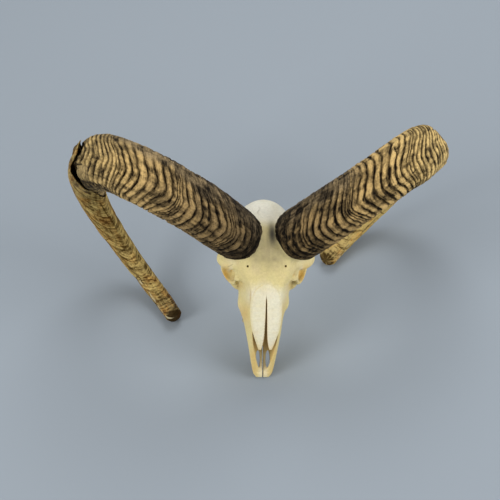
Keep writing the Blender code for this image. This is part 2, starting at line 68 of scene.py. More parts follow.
# ---------------------------------------------------------------------------------------------- horns
# A horn's own measures are in millimetres along it from the rim, and in degrees round it: 0 is the
# outer curve, 90 the lower edge, -90 the upper edge and 180 the inner side.
#   root, set_back       where the axis starts, and how far the base stands off the spiral
#   heading, tip_out     how the spiral's plane is turned away from straight aside, and tipped
#   radius, ratio        the spiral's radius at the rim, and the part of it that is left at the tip
#   start, end           the spiral's angle at the rim and at the tip
#   slide, pace          how far the tip has slid out of that plane, and the power it slides with
#   rim_slant            how far the base's section leans back
#   girth                half the horn's width, by its share of the spiral
#   spacing, bands       from ring to ring, and the bands of slow growth: middle, half width, part lost
#   edges                the swell of a ring where its flank begins, and where its crest is reached
#   floor, faded, early  how light the painted shade in the grooves is, how much more past the turn, and
#   how early all pales
#   broken, worn_top     how broken up the rings of the upper side are, and how worn its edge is, by
#                        distance
#   *_sweep              how far the rings sweep towards the tip above and below the keel, by distance
#   mouth, torn          where the old sheath begins, by angle, and whether it has torn loose there
#   old_light, streaks   how light the old sheath is, partly painted light on the right horn, and how streaked
#   cracks               the distance and angle of each one's two ends, and its width
LEFT_HORN = {
    "side": -1, "root": (40, 35.5, 9), "set_back": (3, 10, -13), "heading": 41.1, "tip_out": 5.8,
    "radius": 141.9, "ratio": 0.87, "start": 128.5, "end": -144.6, "slide": -118.3, "pace": 1.21,
    "rim_slant": 0.45,
    "girth": ((0, 36), (0.1, 37.4), (0.2, 38), (0.42, 37), (0.52, 25.6), (0.62, 20.4), (0.8, 14.5),
              (1, 12)),
    "spacing": ((0, 8.6), (30, 8.4), (90, 8), (105, 9), (140, 10), (160, 8.6), (175, 7.4), (188, 7),
                (202, 9), (230, 10), (300, 10)),
    "bands": ((40, 6, 0.62), (98.5, 6, 0.72), (177, 2.5, 0.5)),
    "edges": (-0.04, 0.4), "floor": 0.08, "faded": 0.1, "early": 0.0,
    "broken": ((0, 0.6), (40, 0.9), (90, 0.9), (125, 0.35), (250, 0.2)),
    "worn_top": ((0, 0.2), (60, 0.6), (100, 1), (190, 1), (225, 0.2)),
    "upper_sweep": ((0, 0.0), (50, 0.5), (150, 0.6), (200, 0.95), (260, 1.1)),
    "lower_sweep": ((0, 0.0), (60, -0.05), (90, 0.2), (125, 0.48), (165, 0.45), (190, 0.2), (260, 0.2)),
    "mouth": ((-180, 370), (-158, 386), (-138, 394), (-90, 356), (-50, 325), (-30, 296), (-17, 266),
              (-6, 258), (14, 255), (30, 260), (42, 274), (56, 276), (74, 268), (92, 267), (112, 277),
              (135, 310), (162, 349), (180, 370)),
    "torn": True, "old_light": -0.06, "streaks": 0.34,
    "cracks": (((237, 40), (266, 45), 1.3), ((436, 142), (436, 166), 0.9),
               ((390, 176), (441, 188), 0.8), ((493, 112), (494, 180), 1.0),
               ((524, 112), (529, 166), 0.8), ((547, 118), (566, 226), 0.8),
               ((577, 150), (588, 215), 0.6), ((596, 120), (606, 214), 0.7)),
    "seed": 11,
}
RIGHT_HORN = {
    "side": 1, "root": (43, 31, 4), "set_back": (3, 14, -7), "heading": 40.0, "tip_out": 4.1,
    "radius": 148.3, "ratio": 0.79, "start": 134.7, "end": -127.6, "slide": -43.9, "pace": 1.3,
    "rim_slant": 0.33,
    "girth": ((0, 37), (0.1, 36.8), (0.2, 36.2), (0.4, 34.7), (0.52, 24.6), (0.62, 19.5), (0.8, 15.5),
              (1, 13.6)),
    "spacing": ((0, 8.2), (30, 8.2), (75, 8.2), (95, 8), (112, 9.8), (150, 9.2), (168, 8),
                (190, 8.6), (220, 10), (300, 10)),
    "bands": ((29, 4, 0.5), (83.5, 6, 0.7), (163, 4, 0.5)),
    "edges": (0.0, 0.45), "floor": 0.02, "faded": 0.16, "early": 0.12,
    "broken": ((0, 0.5), (30, 0.9), (95, 0.85), (125, 0.25), (250, 0.1)),
    "worn_top": ((0, 0.3), (50, 0.6), (110, 0.5), (140, 0), (200, 0)),
    "upper_sweep": ((0, 0.1), (50, 0.5), (150, 0.66), (190, 1.1), (260, 1.2)),
    "lower_sweep": ((0, 0.0), (50, 0.03), (90, 0.22), (125, 0.4), (155, 0.5), (185, 0.3), (260, 0.2)),
    "mouth": ((-180, 372), (-138, 373), (-90, 349), (-40, 315), (20, 295), (68, 308), (112, 336),
              (162, 366), (180, 372)),
    # The right horn's old length is made lighter as painted light, against the shade under its curl.
    "torn": False, "old_light": 0.36, "streaks": 0.8,
    "cracks": (((164, -25), (170, -45), 1.4), ((250, -26), (284, -33), 1.0),
               ((520, 130), (536, 190), 0.7), ((545, 140), (558, 200), 0.6),
               ((566, 130), (574, 190), 0.7)),
    "seed": 23,
}
SPIRAL_STEPS = 2000              # steps that a horn's length is measured in
NEARBY = 0.001                   # the share of the spiral over which its direction is measured
HORN_DEPTH = 0.96                # a section's depth, as a part of its width
SET_BACK_REACH = 0.3             # the share of the spiral over which the set back dies away
RIM_REACH = 0.15                 # and the one over which the rim's slant does
SHORT_CRACK = 15.0               # a crack that runs less far along the horn runs round it
TIP_ROUND = 9.0                  # how far from its end a tip begins to round off
KEEL = 20.0                      # the front edge, where each ring has its foremost point
# How far round the horn a ring goes on sweeping: angle from the keel, and the part of it that counts.
RING_BEND = ((0, 0), (0.14, 0.04), (0.5, 0.38), (1.0, 0.92), (1.4, 1.2), (3.2, 1.28))
COUNTED = (-90, 720)             # the stretch over which rings are counted, and in which steps
COUNT_STEP = 0.25
GROOVE_DEPTH = 2.6
UNDERLAP = 16.0                  # how far the ridged length goes on under the old sheath
RIM_TURNED_IN = (0.8, 0.93)      # the two rings of points inside the rim, as parts of its width
RING_STEP = 3.7                  # how far apart two rings lie in the noise, so that they differ
RIDGED_ROWS, RIDGED_COLUMNS = 480, 200
OLD_ROWS, OLD_COLUMNS = 460, 160
OLD_SEED = 50                    # from the ridged length's noise to the old one's
LIP = 2.4                        # thickness of the old sheath's torn edge
# The lip's inner wall: how far past the edge, how many lips deep, and how light its painted shade is.
LIP_WALL = ((24, 1.7, 0), (12, 1.35, 0.1), (3, 1.0, 0.25), (0.6, 0.55, None))
# How far the growth lines of the old sheath swing round it, and how far apart its yearly ones are.
GROWTH_SWING = ((250, 54), (430, 40), (520, 26), (640, 20))
YEAR = 38.0

# Bumps round a section: the angle of each, its height as a part of the girth, and its half width. The
# corners between the faces come first, then the outer curve where the horn turns over, then the keel of
# the inner side.
CORNERS = ((24, 0.03, 16), (-50, 0.03, 22), (-14, -0.02, 16))
TURNED_OVER = ((-52, 0.06, 26), (8, -0.1, 34))
INNER_KEEL = ((188, 0.1, 14), (150, -0.04, 24), (222, -0.03, 20))
# The left horn's break, as bumps in millimetres: how far back from the torn edge the ridged length is
# worn away and how deep, and how far the edge of the old sheath lifts as a splinter and sinks beside it.
TORN_REACH = ((50, 26, 19), (80, 9, 12), (8, 2, 18))
TORN_DEPTH = ((58, 8, 30), (4, 3, 18))
SPLINTER = ((-8, 6.0, 22),)
SUNK_EDGE = ((44, -3.0, 30),)
TORN_PIT = {"distance": 238, "length": 3.5, "angle": 26, "width": 8, "depth": 3}

CORE_RADIUS = 31.0
CORE_END_RADIUS = 22.0
CORE_STUMP = 6.0                 # how far a core reaches up into the horn's rim, and down into the brow
CORE_ROOT = 52.0
# Horn colours from the rim to the older end. The dark ones mostly paint shade: grooves, under the old
# sheath.
HORN_DARK = ((0.0, (9, 7, 5)), (0.35, (12, 8, 5)), (1.0, (27, 18, 9)))
HORN_LIGHT = ((0.0, (76, 64, 44)), (0.3, (160, 133, 87)), (0.62, (206, 173, 112)), (1.0, (224, 193, 126)))
OLD_HORN_DARK = ((0.0, (34, 24, 10)), (1.0, (78, 58, 22)))
OLD_HORN_LIGHT = ((0.0, (132, 110, 60)), (1.0, (204, 178, 108)))
# Colours of the horn's low and high places where it is dull or rusty, of its chips and of its rosy grit.
DULL_HORN = ((28, 23, 17), (136, 121, 95))
RUSTY_HORN = ((96, 60, 24), (206, 152, 70))
CHIPPED_HORN = (214, 200, 160)
ROSY_HORN = (150, 124, 108)

# ----------------------------------------------------------------------------------------------- bone
# The face, as cross-sections: place along the skull, height of the midline, half width and fall of the
# roof's edge, half width and height of the cheek, half width of the gums and height of the palate.
FACE = (
    (22, 6, 36, 4, 42, -30, 22, -82),
    (0, 0, 36, 5, 47, -36, 29, -94),
    (-27, -4, 25, 4, 37, -46, 31, -95),
    (-50, -6, 21, 5, 34.5, -60, 31, -90),
    (-72, -9.5, 19, 5, 28, -58, 24, -82),
    (-95, -15, 16, 5, 24, -54, 17, -79),
    (-118, -31, 12, 4, 19.7, -57, 14, -79),
    (-143, -57, 11, 2, 15, -66, 11, -77),
    (-151, -62, 9.5, 2, 12.5, -68, 9.5, -75),
    (-155.5, -65, 7, 1, 9, -69, 7, -73),
)
FACE_BOX = {"half": 52, "low": -100, "high": 8}        # the room that all of these need

# Rounded masses on the midline, then pairs: centre, half sizes and how softly each joins the rest.
MIDDLE_MASSES = {
    "dome": ((0, 46.5, -56), (41, 47, 44), 6),
    "brow_mass": ((0, 26, -24), (42, 42, 30), 6),
    "nape": ((0, 68, -84), (32, 20, 28), 6),
    "base_mass": ((0, 40, -84), (26, 30, 18), 6),
}
PAIRED_MASSES = {
    "eye_roof": ((47, 11, -15), (20, 15, 9), 5),
    "brow_point": ((62, 10.5, -18), (5, 5.5, 6), 2),
    "tear_bump": ((37.5, -16.5, -22), (6, 4.5, 7), 3),
    "cheek_front": ((37, -19, -53), (11, 13, 15), 4),
    "face_knob": ((30.5, -50, -62), (5.5, 10, 8), 5),
    "orbit_floor": ((48, -5, -64), (9, 12, 7), 3),
    "ear_mass": ((35, 54, -82), (11, 14, 18), 4),
    "ear_bulb": ((23, 42, -104), (8, 12, 11), 3),
    "neck_knuckle": ((14, 76, -107), (9, 12, 13), 3),
    "throat_plate": ((14, 12, -92), (4, 15, 20), 4),
}
PAIRED_BARS = {
    "cheek_arch": ((((36, -24, -54), 7), ((45, -17, -58), 6), ((52, -4, -61), 5.5), ((56, 14, -64), 5),
                    ((54, 30, -68), 5), ((47, 43, -75), 5), ((38, 50, -80), 7)), 3),
    "eye_bar": ((((60, 15, -15), 6), ((60.5, 22, -36), 4.5), ((56, 19, -62), 5)), 3),
    "ear_tube": ((((26, 46, -98), 7), ((43, 50, -88), 5)), 2),
    "neck_spur": ((((29, 64, -94), 8), ((28, 68, -112), 5), ((26, 70, -130), 3)), 3),
    "nape_ridge": ((((0, 86, -58), 5), ((20, 80, -64), 5), ((36, 64, -80), 6)), 4),
}
SKULL_FLOOR = (((0, 70, -104), 12), ((0, 34, -99), 10), ((0, -2, -88), 9))

# The eye sockets' rims, then the hollows: centre, half sizes and how softly each is carved. The two long
# ones are rows of place along the skull, half width, top and bottom.
EYE_RING = {"centre": (51.5, 0, -37), "radius": 22.5, "thickness": 3.1, "lean": 20.0, "sweep": 14.0,
            "left_inset": 3.0}
EYE_HOLLOW = ((56, 0, -37), (24, 20.5, 20.5), 2)
EYE_DEEP = ((44, 5, -39), (18, 16, 15), 3)
TEAR_PIT = ((38, -25, -25), (6, 7, 9), 2.5)
NERVE_HOLE = ((29, -64, -64), (7, 4, 3), 1)
SLIT_HOLE = ((7.2, -131, -72), (3.5, 14.5, 17), 1)
NECK_HOLE = ((0, 80, -98), (9, 16, 9), 2)
BROW_HOLE = {"place": (26, 1, 0), "radius": 1.5, "depth": 8.0}
NOSE_HOLLOW = ((-150, 2, -54, -61), (-134, 9, -44, -65), (-115, 13.5, -20, -65), (-95, 17, -6, -65),
               (-70, 18.5, -6, -64), (-46, 17, -9, -56), (-34, 9, -16, -40))
MOUTH_ROOF = ((-156, 4, -74, -99), (-137, 7, -73, -99), (-117, 10, -73, -99), (-80, 13, -76, -120),
              (-50, 16, -83, -140), (-8, 18, -88, -150), (2, 15, -90, -150))
CHANNEL_SQUARENESS = 3.3
NOSE_MOUTH_CUT = ((-87, 30), (-86, -19), (-113, -38), (-148, -62), (-175, -62), (-175, 30))

# The cheek teeth, from the front one to the last one, and how far across the head the row lies and how
# high its chewing edge is, at its front and at its back.
TOOTH_LENGTHS = (8, 9, 9, 13, 15, 17)
TOOTH_FRONT = -80
TOOTH_HEIGHT = 30
TOOTH_WIDTH = 12.5
TOOTH_GAP = 0.5
CHEWING_RISE = 0.9               # how far the chewing ridges stand over the row's crown line
ROW_FRONT = {"across": 20, "crown": -91}
ROW_BACK = {"across": 27, "crown": -113}

LEFT_CHEEK_INSET = 2.6           # how much narrower the left cheek is than the right one

# A nose bone: place along the skull, inner edge, outer edge and height of its inner edge.
NOSE_BONE = ((-25, 0, 6, -3.6), (-29, 0, 12.5, -4), (-38, 0, 18.2, -4.8), (-46, 0.55, 20, -5.6),
             (-60, 0.9, 20.5, -7.6), (-75, 1.2, 19.7, -10.4), (-88, 1.6, 17.2, -14),
             (-98, 2.2, 14, -18), (-107, 3.5, 10.8, -22.4), (-114.5, 5.6, 8, -26.4))
NOSE_BONE_THICK = 3.0
NOSE_BONE_ROWS, NOSE_BONE_COLUMNS = 180, 26
EDGE_DROP = 0.4                  # how far a nose bone's edges round off
# How much lower a nose bone lies at its widest than in the middle, by place along the skull.
NOSE_BONE_FALL = ((-52, 4.1), (-45, 2.2), (-39, 0.9), (-33, 1.6), (-25, 2.6))
NOSE_HALF_WIDTH = 20.5

# Which bone a place belongs to: outlines seen from the side, in place along the skull and height. A bone
# that lies aside also begins at an inner distance from the middle.
CHEEK_SEAM = ((-38, -104), (-38, -52), (-25, -29), (12, -29), (25, -42), (25, -104))
CHEEK_INNER = 39.0
SEAM_SWING = 0.45                # how far each of a seam's three waves swings
BROW_SEAM = ((-24.5, 60), (-24.5, -16), (-8, -29), (12, -43), (46, -43), (71, -12), (71, 60))
TEMPLE_SEAM = ((25, -104), (25, -30), (50, -30), (66, -60), (66, -100), (52, -114), (30, -114))
TEMPLE_INNER = 31.0
BASE_SEAM = ((-3, -170), (-3, -82), (34, -80), (66, -76), (140, -52), (140, -170))
CASE_SEAM = ((-3, -8), (-3, -170), (140, -170), (140, 70), (60, 70), (20, -8))
JAW_SEAM = ((-103, -110), (-103, -68), (-84, -36), (-77, -2), (-190, -2), (-190, -110))

# Soft spots of colour on the bone, seen from above: the middle of each and its half widths. The first
# ones lie on both sides, and the others on one.
PAIRED_SPOTS = {
    "eye_roof": ((46, 9), (9, 9)),
    "nose_root": ((0, -40), (24, 13)),
    "nose_chalk": ((0, -40), (20, 12)),
    "eye_corner": ((49, -4), (3, 5)),
    "socket_front": ((54, -11), (6, 11)),
    "socket": ((46, 0), (16, 22)),
    "tear_pit": ((38, -26), (5, 5)),
    "cheek": ((29, -62), (7, 26)),
    "muzzle": ((13, -132), (7, 26)),
    "crown": ((0, 26), (15, 24)),
    "crown_side": ((17, 30), (9, 22)),
    "brow": ((0, -12), (24, 14)),
    "brow_side": ((12, 8), (14, 10)),
}
SINGLE_SPOTS = {
    "tan": ((-26, -65), (4, 11)),
    "crease": ((-21.8, -41), (0.8, 9)),
    # The painted shadow that the right horn's rim casts on the brow.
    "shade": ((7, 45), (5, 14)),
}

BONE_WARM = (214, 200, 142)
BONE_PALE = (220, 216, 192)
BONE_CHALK = (250, 248, 234)
BONE_OCHRE = (204, 161, 74)
BONE_GREY = (134, 124, 94)
BONE_STAIN = (168, 140, 84)
# Painted shade in the hollows, the tear pits and under the nose bones.
HOLLOW_SHADE = (176, 144, 76)
BONE_SUTURE = (112, 92, 54)
BONE_SPECK = (122, 104, 66)
# Painted shade inside the nose, and under and between the nose bones.
NOSE_CAVITY_SHADE = (184, 152, 92)
# The colour of the painted shadow by the right horn's rim.
CROWN_SHADE = (60, 58, 52)
TOOTH_IVORY = (196, 178, 138)
TOOTH_BROWN = (120, 92, 56)
BONE_ROUGHNESS = 0.58
RIDGED_ROUGHNESS = 0.62
OLD_ROUGHNESS = 0.55
TOOTH_ROUGHNESS = 0.35
HORN_GLOSS = 0.05

# The block of space that the bones are worked out in, and the size of its cells.
BLOCK_LOW = (-90, -160, -136)
BLOCK_HIGH = (90, 100, 46)
GRAIN = 1.0
OUTSIDE_BONE = 60.0              # the field's value before anything is joined to it
OUTSIDE_NOSE = 20.0
# How far round a point the bone is counted for the painted shade in hollows.
HOLLOW_REACH = 6                 # cells each way that say how deep in a hollow a point lies
SHARP_FOLD = 50.0                # degrees between two faces that meet in a sharp edge

# ---------------------------------------------------------------------------------------------- stage
# In metres and watts: name, place, size, power and colour of each lamp.
LAMPS = (
    ("key_light", (-2.4, -1.3, 1.3), 1.5, 47, (1.0, 0.985, 0.96)),
    ("fill_light", (2.4, -1.3, 1.2), 1.7, 51, (1.0, 0.99, 0.98)),
    ("back_light", (0.3, 1.3, 2.0), 1.2, 17, (1.0, 1.0, 1.0)),
)
LAMP_AIM = (0, 0, 0.15)
SKY_COLOUR = (0.95, 0.95, 0.95, 1)
SKY_STRENGTH = 0.58
FLOOR_COLOUR = (149, 158, 167)
FLOOR_ROUGHNESS = 0.9
FLOOR_HALF = 14.0


# ------------------------------------------------------------------------------------------- the frame
def rest_turn():
    """The turn that lays the skull down: pitch about X, then roll about Y."""
    roll = Matrix.Rotation(math.radians(REST_ROLL), 3, "Y")
    return np.array(roll @ Matrix.Rotation(math.radians(REST_PITCH), 3, "X"))


REST_TURN = rest_turn()


def laid(points):
    """Skull frame in millimetres to the floor's frame in metres: turned, then shifted."""
    return (np.asarray(points, float) @ REST_TURN.T + REST_SHIFT) * MM


def eased(table, t):
    """Reads a table of (place, value) at t: a cubic from each value to the next, level where they turn
    back and with the mean slope where they don't."""
    places, values = (np.array(column, float) for column in zip(*table))
    slopes = np.diff(values) / np.diff(places)
    inner = np.where(slopes[1:] * slopes[:-1] > 0, (slopes[1:] + slopes[:-1]) / 2, 0.0)
    tangents = np.concatenate([slopes[:1], inner, slopes[-1:]])
    t = np.clip(t, places[0], places[-1])
    i = np.clip(np.searchsorted(places, t, side="right") - 1, 0, len(places) - 2)
    span = places[i + 1] - places[i]
    u = (t - places[i]) / span
    rise = values[i + 1] - values[i]
    return (values[i] + rise * (3 * u**2 - 2 * u**3)
            + span * (tangents[i] * (u - 2 * u**2 + u**3) + tangents[i + 1] * (u**3 - u**2)))


def value_tables(rows, *numbers):
    """Tables of (place, value) from rows that hold a place and several values."""
    return [[(row[0], row[n]) for row in rows] for n in numbers]


def mirrored(place, side):
    """A place on the right side of the head (1), or its mirror image on the left (-1)."""
    return np.multiply(place, [side, 1, 1])


def smooth(low, high, value):
    """0 below low, 1 above high, and the cubic ease between them."""
    u = np.clip((value - low) / (high - low), 0, 1)
    return u * u * (3 - 2 * u)


def cell_corners(part):
    """The steps to a cell's eight corners, each with its weight at a part of the way through the cell:
    (1 - part) or part, multiplied over the three directions."""
    for steps in np.ndindex(2, 2, 2):
        x, y, z = (np.abs(1 - step - part[..., n]) for n, step in enumerate(steps))
        yield steps, x * y * z


def unevenness(points, size, seed):
    """Smooth noise from -1 to 1: a random height at each corner of a grid of cells of that size (one
    number, or one for each direction), blended inside the cell with the cubic ease."""
    table = np.random.default_rng(seed).uniform(-1, 1, (NOISE_CELLS,) * 3)
    cells = np.asarray(points, float) / size
    corner = np.floor(cells).astype(np.int64)
    part = cells - corner
    part = part * part * (3 - 2 * part)
    total = 0.0
    for steps, weight in cell_corners(part):
        x, y, z = ((corner[..., n] + step) % NOISE_CELLS for n, step in enumerate(steps))
        total = total + weight * table[x, y, z]
    return total


# ------------------------------------------------------------------------------------------ the meshes
def skin(name, points, faces, marks=None):
    """A smooth mesh from points in the floor's frame and faces of three or four corners each. marks are
    numbers (or triples) for each point that a material reads by name."""
    mesh = bpy.data.meshes.new(name)
    points = np.asarray(points, np.float32)
    corners = np.concatenate([np.asarray(part).ravel() for part in faces]).astype(np.int32)
    sizes = np.concatenate([np.full(len(part), np.asarray(part).shape[1]) for part in faces])
    starts = np.concatenate([[0], np.cumsum(sizes)[:-1]]).astype(np.int32)
    mesh.vertices.add(len(points))
    mesh.vertices.foreach_set("co", points.ravel())
    mesh.loops.add(len(corners))
    mesh.loops.foreach_set("vertex_index", corners)
    mesh.polygons.add(len(sizes))
    mesh.polygons.foreach_set("loop_start", starts)
    mesh.update(calc_edges=True)
    mesh.validate()
    for mark, values in (marks or {}).items():
        values = np.asarray(values, np.float32)
        kind, key = ("FLOAT_VECTOR", "vector") if values.ndim == 2 else ("FLOAT", "value")
        mesh.attributes.new(mark, kind, "POINT").data.foreach_set(key, values.ravel())
    mesh.shade_smooth()
    made = bpy.data.objects.new(name, mesh)
    bpy.context.scene.collection.objects.link(made)
    return made


def tube_faces(rows, columns, start=0):
    """Quads of a grid that is closed round: each row of points joined to the next."""
    row, column = np.meshgrid(np.arange(rows - 1), np.arange(columns), indexing="ij")
    beside = (column + 1) % columns
    quads = np.stack([row * columns + column, row * columns + beside,
                      (row + 1) * columns + beside, (row + 1) * columns + column], -1)
    return quads.reshape(-1, 4) + start


def tube(name, rings, marks=None):
    """A closed skin from rings of points: a tube of quads whose ends are drawn together to a pole."""
    rows, columns = rings.shape[:2]
    points = np.concatenate([rings.reshape(-1, 3), rings[0].mean(0)[None], rings[-1].mean(0)[None]])
    around = np.arange(columns)
    beside = (around + 1) % columns
    first, last = rows * columns, rows * columns + 1
    near = np.stack([beside, around, np.full(columns, first)], -1)
    far = np.stack([around, beside, np.full(columns, last)], -1)
    far[:, :2] += (rows - 1) * columns
    quads = tube_faces(rows, columns)
    a, b, c = (points[quads[:, n]] for n in (0, 1, 2))
    middle = rings.mean(1)[np.repeat(np.arange(rows - 1), columns)]
    if (np.cross(b - a, c - a) * (a - middle)).sum() < 0:
        quads, near, far = quads[:, ::-1], near[:, ::-1], far[:, ::-1]
    full = {}
    for mark, values in (marks or {}).items():
        flat = values.reshape(rows * columns, *values.shape[2:])
        full[mark] = np.concatenate([flat, values[0].mean(0)[None], values[-1].mean(0)[None]])
    return skin(name, laid(points), (quads, near, far), full)


def surface_net(field, low, step):
    """The surface where a field of numbers on a grid crosses zero. Each cell that it passes through gets
    one point, the mean of where it crosses the cell's edges, and each crossed edge gets the quad of the
    four cells round it."""
    inside = field < 0
    count = np.zeros(tuple(n - 1 for n in field.shape), np.int8)
    total = np.zeros((*count.shape, 3), np.float32)
    span = [slice(0, n - 1) for n in field.shape]
    for axis in range(3):
        others = [n for n in range(3) if n != axis]
        for j in (0, 1):
            for k in (0, 1):
                begin, finish = list(span), list(span)
                offset = {others[0]: j, others[1]: k}
                for n, shift in offset.items():
                    begin[n] = slice(shift, shift + field.shape[n] - 1)
                    finish[n] = begin[n]
                finish[axis] = slice(1, field.shape[axis])
                a, b = field[tuple(begin)], field[tuple(finish)]
                crossed = inside[tuple(begin)] != inside[tuple(finish)]
                where = np.nonzero(crossed)
                share = a[where] / (a[where] - b[where])
                count[where] += 1
                total[(*where, axis)] += share
                for n, shift in offset.items():
                    total[(*where, n)] += shift
    cells = np.nonzero(count)
    number = np.full(count.shape, -1, np.int64)
    number[cells] = np.arange(len(cells[0]))
    points = (np.stack(cells, -1) + total[cells] / count[cells][:, None]) * step + low
    quads = []
    for axis in range(3):
        one, two = [(1, 2), (2, 0), (0, 1)][axis]
        begin, finish = [slice(1, n - 1) for n in field.shape], [slice(1, n - 1) for n in field.shape]
        begin[axis], finish[axis] = slice(0, field.shape[axis] - 1), slice(1, field.shape[axis])
        a, b = inside[tuple(begin)], inside[tuple(finish)]
        for outward in (True, False):
            edge = np.stack(np.nonzero(a & ~b if outward else b & ~a), -1)
            edge[:, [n for n in range(3) if n != axis]] += 1
            ring = []
            for back_one, back_two in ((1, 1), (0, 1), (0, 0), (1, 0)):
                cell = edge.copy()
                cell[:, one] -= back_one
                cell[:, two] -= back_two
                ring.append(number[tuple(cell.T)])
            ring = np.stack(ring, -1)
            quads.append(ring if outward else ring[:, ::-1])
    return points, np.concatenate(quads)


# -------------------------------------------------------------------------------------------- the horns
def spiral(horn, t):
    """The horn's axis at each t and its outward direction. The point runs round a circle whose radius
    shrinks as ratio to the power t, while it slides sideways by slide times t to the power pace."""
    side = horn["side"]
    t = np.asarray(t, float)[..., None]
    heading, tip_out = math.radians(horn["heading"]), math.radians(horn["tip_out"])
    up = np.array([0.0, 0.0, 1.0])
    along = np.array([side * math.cos(heading), math.sin(heading), 0.0])
    across = np.array([-side * math.sin(heading), math.cos(heading), 0.0])
    over = math.cos(tip_out) * up + math.sin(tip_out) * across
    aside = math.cos(tip_out) * across - math.sin(tip_out) * up
    start, end = math.radians(horn["start"]), math.radians(horn["end"])
    angle = start + (end - start) * t
    outward = np.cos(angle) * along + np.sin(angle) * over
    axis = horn["radius"] * horn["ratio"]**t * outward + horn["slide"] * t**horn["pace"] * aside
    first = horn["radius"] * (math.cos(start) * along + math.sin(start) * over)
    set_back = np.clip(1 - t / SET_BACK_REACH, 0, 1)**2 * mirrored(horn["set_back"], side)
    return axis - first + mirrored(horn["root"], side) + set_back, outward


def horn_length(horn):
    """Places t along the spiral, and the distance from the rim to each of them."""
    fine = np.linspace(0, 1, SPIRAL_STEPS + 1)
    line = spiral(horn, fine)[0]
    return fine, np.concatenate([[0], np.cumsum(np.linalg.norm(np.diff(line, axis=0), axis=1))])


def on_horn(horn, distance, lower, radius):
    """Points round the horn's axis: axis + r sin(turn) across + r depth cos(turn) outward, and near the
    rim the section leans back by the slant. lower is the angle round the horn towards its lower edge."""
    fine, run = horn_length(horn)
    t = np.interp(distance, run, fine)
    axis, outward = spiral(horn, t)
    ahead = spiral(horn, t + NEARBY)[0] - spiral(horn, np.maximum(t - NEARBY, 0))[0]
    ahead /= np.linalg.norm(ahead, axis=-1, keepdims=True)
    outward = outward - (outward * ahead).sum(-1, keepdims=True) * ahead
    outward /= np.linalg.norm(outward, axis=-1, keepdims=True)
    across = np.cross(ahead, outward) * horn["side"]
    slant = horn["rim_slant"] * np.clip(1 - t / RIM_REACH, 0, 1)
    rise = radius * HORN_DEPTH * np.cos(lower)
    return (axis + (radius * np.sin(lower))[..., None] * across + rise[..., None] * outward
            - (slant * rise)[..., None] * ahead)


def fold(angle):
    """An angle in radians, brought between -pi and pi."""
    return np.angle(np.exp(1j * angle))


def lobe(lower, at, wide):
    """A bump round the horn: 1 at an angle of at degrees, falling as exp(-(offset / wide) squared)."""
    return np.exp(-(fold(lower - math.radians(at)) / math.radians(wide))**2)


def bumps(lower, table):
    """The sum of a table's bumps round the horn: height times a lobe, for each."""
    return sum(height * lobe(lower, at, wide) for at, height, wide in table)


def girth_at(horn, distance, lower):
    """The girth, an eased table, and the section's radius: the girth, swollen at the corners between its
    faces and flattened on the outer curve where the horn turns over, with an inner keel further out."""
    fine, run = horn_length(horn)
    girth = eased(horn["girth"], np.interp(distance, run, fine))
    turning = smooth(190, 250, distance) * smooth(360, 300, distance)
    keeled = smooth(330, 420, distance)
    return girth, girth * (1 + bumps(lower, CORNERS) + turning * bumps(lower, TURNED_OVER)
                           + keeled * bumps(lower, INNER_KEEL))


def cracks_at(horn, distance, lower, girth):
    """1 on each crack and 0 a little way off it: exp(-(distance to the crack's line / width) squared).
    The line of a crack that runs round the horn is ragged by two sine waves."""
    total = np.zeros(distance.shape)
    for (near, near_angle), (far, far_angle), wide in horn["cracks"]:
        across = fold(lower - math.radians((near_angle + far_angle) / 2)) * girth
        half = math.radians(far_angle - near_angle) / 2 * girth
        run, rise = far - near, 2 * half
        share = np.clip(((distance - near) * run + (across + half) * rise) / (run**2 + rise**2), 0, 1)
        ragged = 0.7 * np.sin(across * 1.9) + 0.5 * np.sin(across * 4.3 + near)
        ragged = ragged * (abs(run) < SHORT_CRACK)
        away = np.hypot(distance - near - share * run + ragged, across + half - share * rise)
        total = np.maximum(total, np.exp(-(away / wide)**2))
    return total


def ring_count(horn, distance):
    """How many rings lie between the rim and a distance along the horn: the sum of 1 / spacing, which
    is less in the bands of slow growth. Also how far each place lies in such a band."""
    first, last = COUNTED
    fine = np.arange(first, last + COUNT_STEP, COUNT_STEP)
    slow = sum(drop * np.exp(-((fine - at) / wide)**4) for at, wide, drop in horn["bands"])
    spacing = eased(horn["spacing"], fine) * (1 - slow)
    count = np.cumsum(COUNT_STEP / spacing)
    return np.interp(distance, fine, count), np.interp(distance, fine, slow)


def ring_level(horn, distance, lower, girth):
    """The distance from the rim, less how far the ring has swept towards the tip by this place round
    the horn: girth times sweep times the bent angle from the keel, above it and below it."""
    off = fold(lower - math.radians(KEEL))
    below = smooth(-0.12, 0.12, off) - smooth(2, math.pi, off) / 2 + smooth(2, math.pi, -off) / 2
    upper, under = eased(horn["upper_sweep"], distance), eased(horn["lower_sweep"], distance)
    return distance - girth * eased(RING_BEND, np.abs(off)) * (upper + (under - upper) * below)


def mouth(horn, lower):
    """Where the old sheath begins: the distance from the rim at each place round the horn, from an
    eased table, plus noise for the torn edge."""
    round_it = np.stack([np.cos(lower), np.sin(lower), 0 * lower], -1)
    wide = 2 * unevenness(round_it, 0.55, horn["seed"] + 30)
    fine = 2 * unevenness(round_it, 0.14, horn["seed"] + 31)
    return eased(horn["mouth"], np.degrees(fold(lower))) + (wide + fine)


def wave(turns):
    """A wave from 0 to 1 and back for each turn: (1 - cos(2 pi turns)) / 2."""
    return 0.5 - 0.5 * np.cos(2 * math.pi * turns)


def round_the_horn(columns):
    """The angles of a grid's columns, as one row."""
    return np.linspace(-math.pi, math.pi, columns, endpoint=False)[None, :]


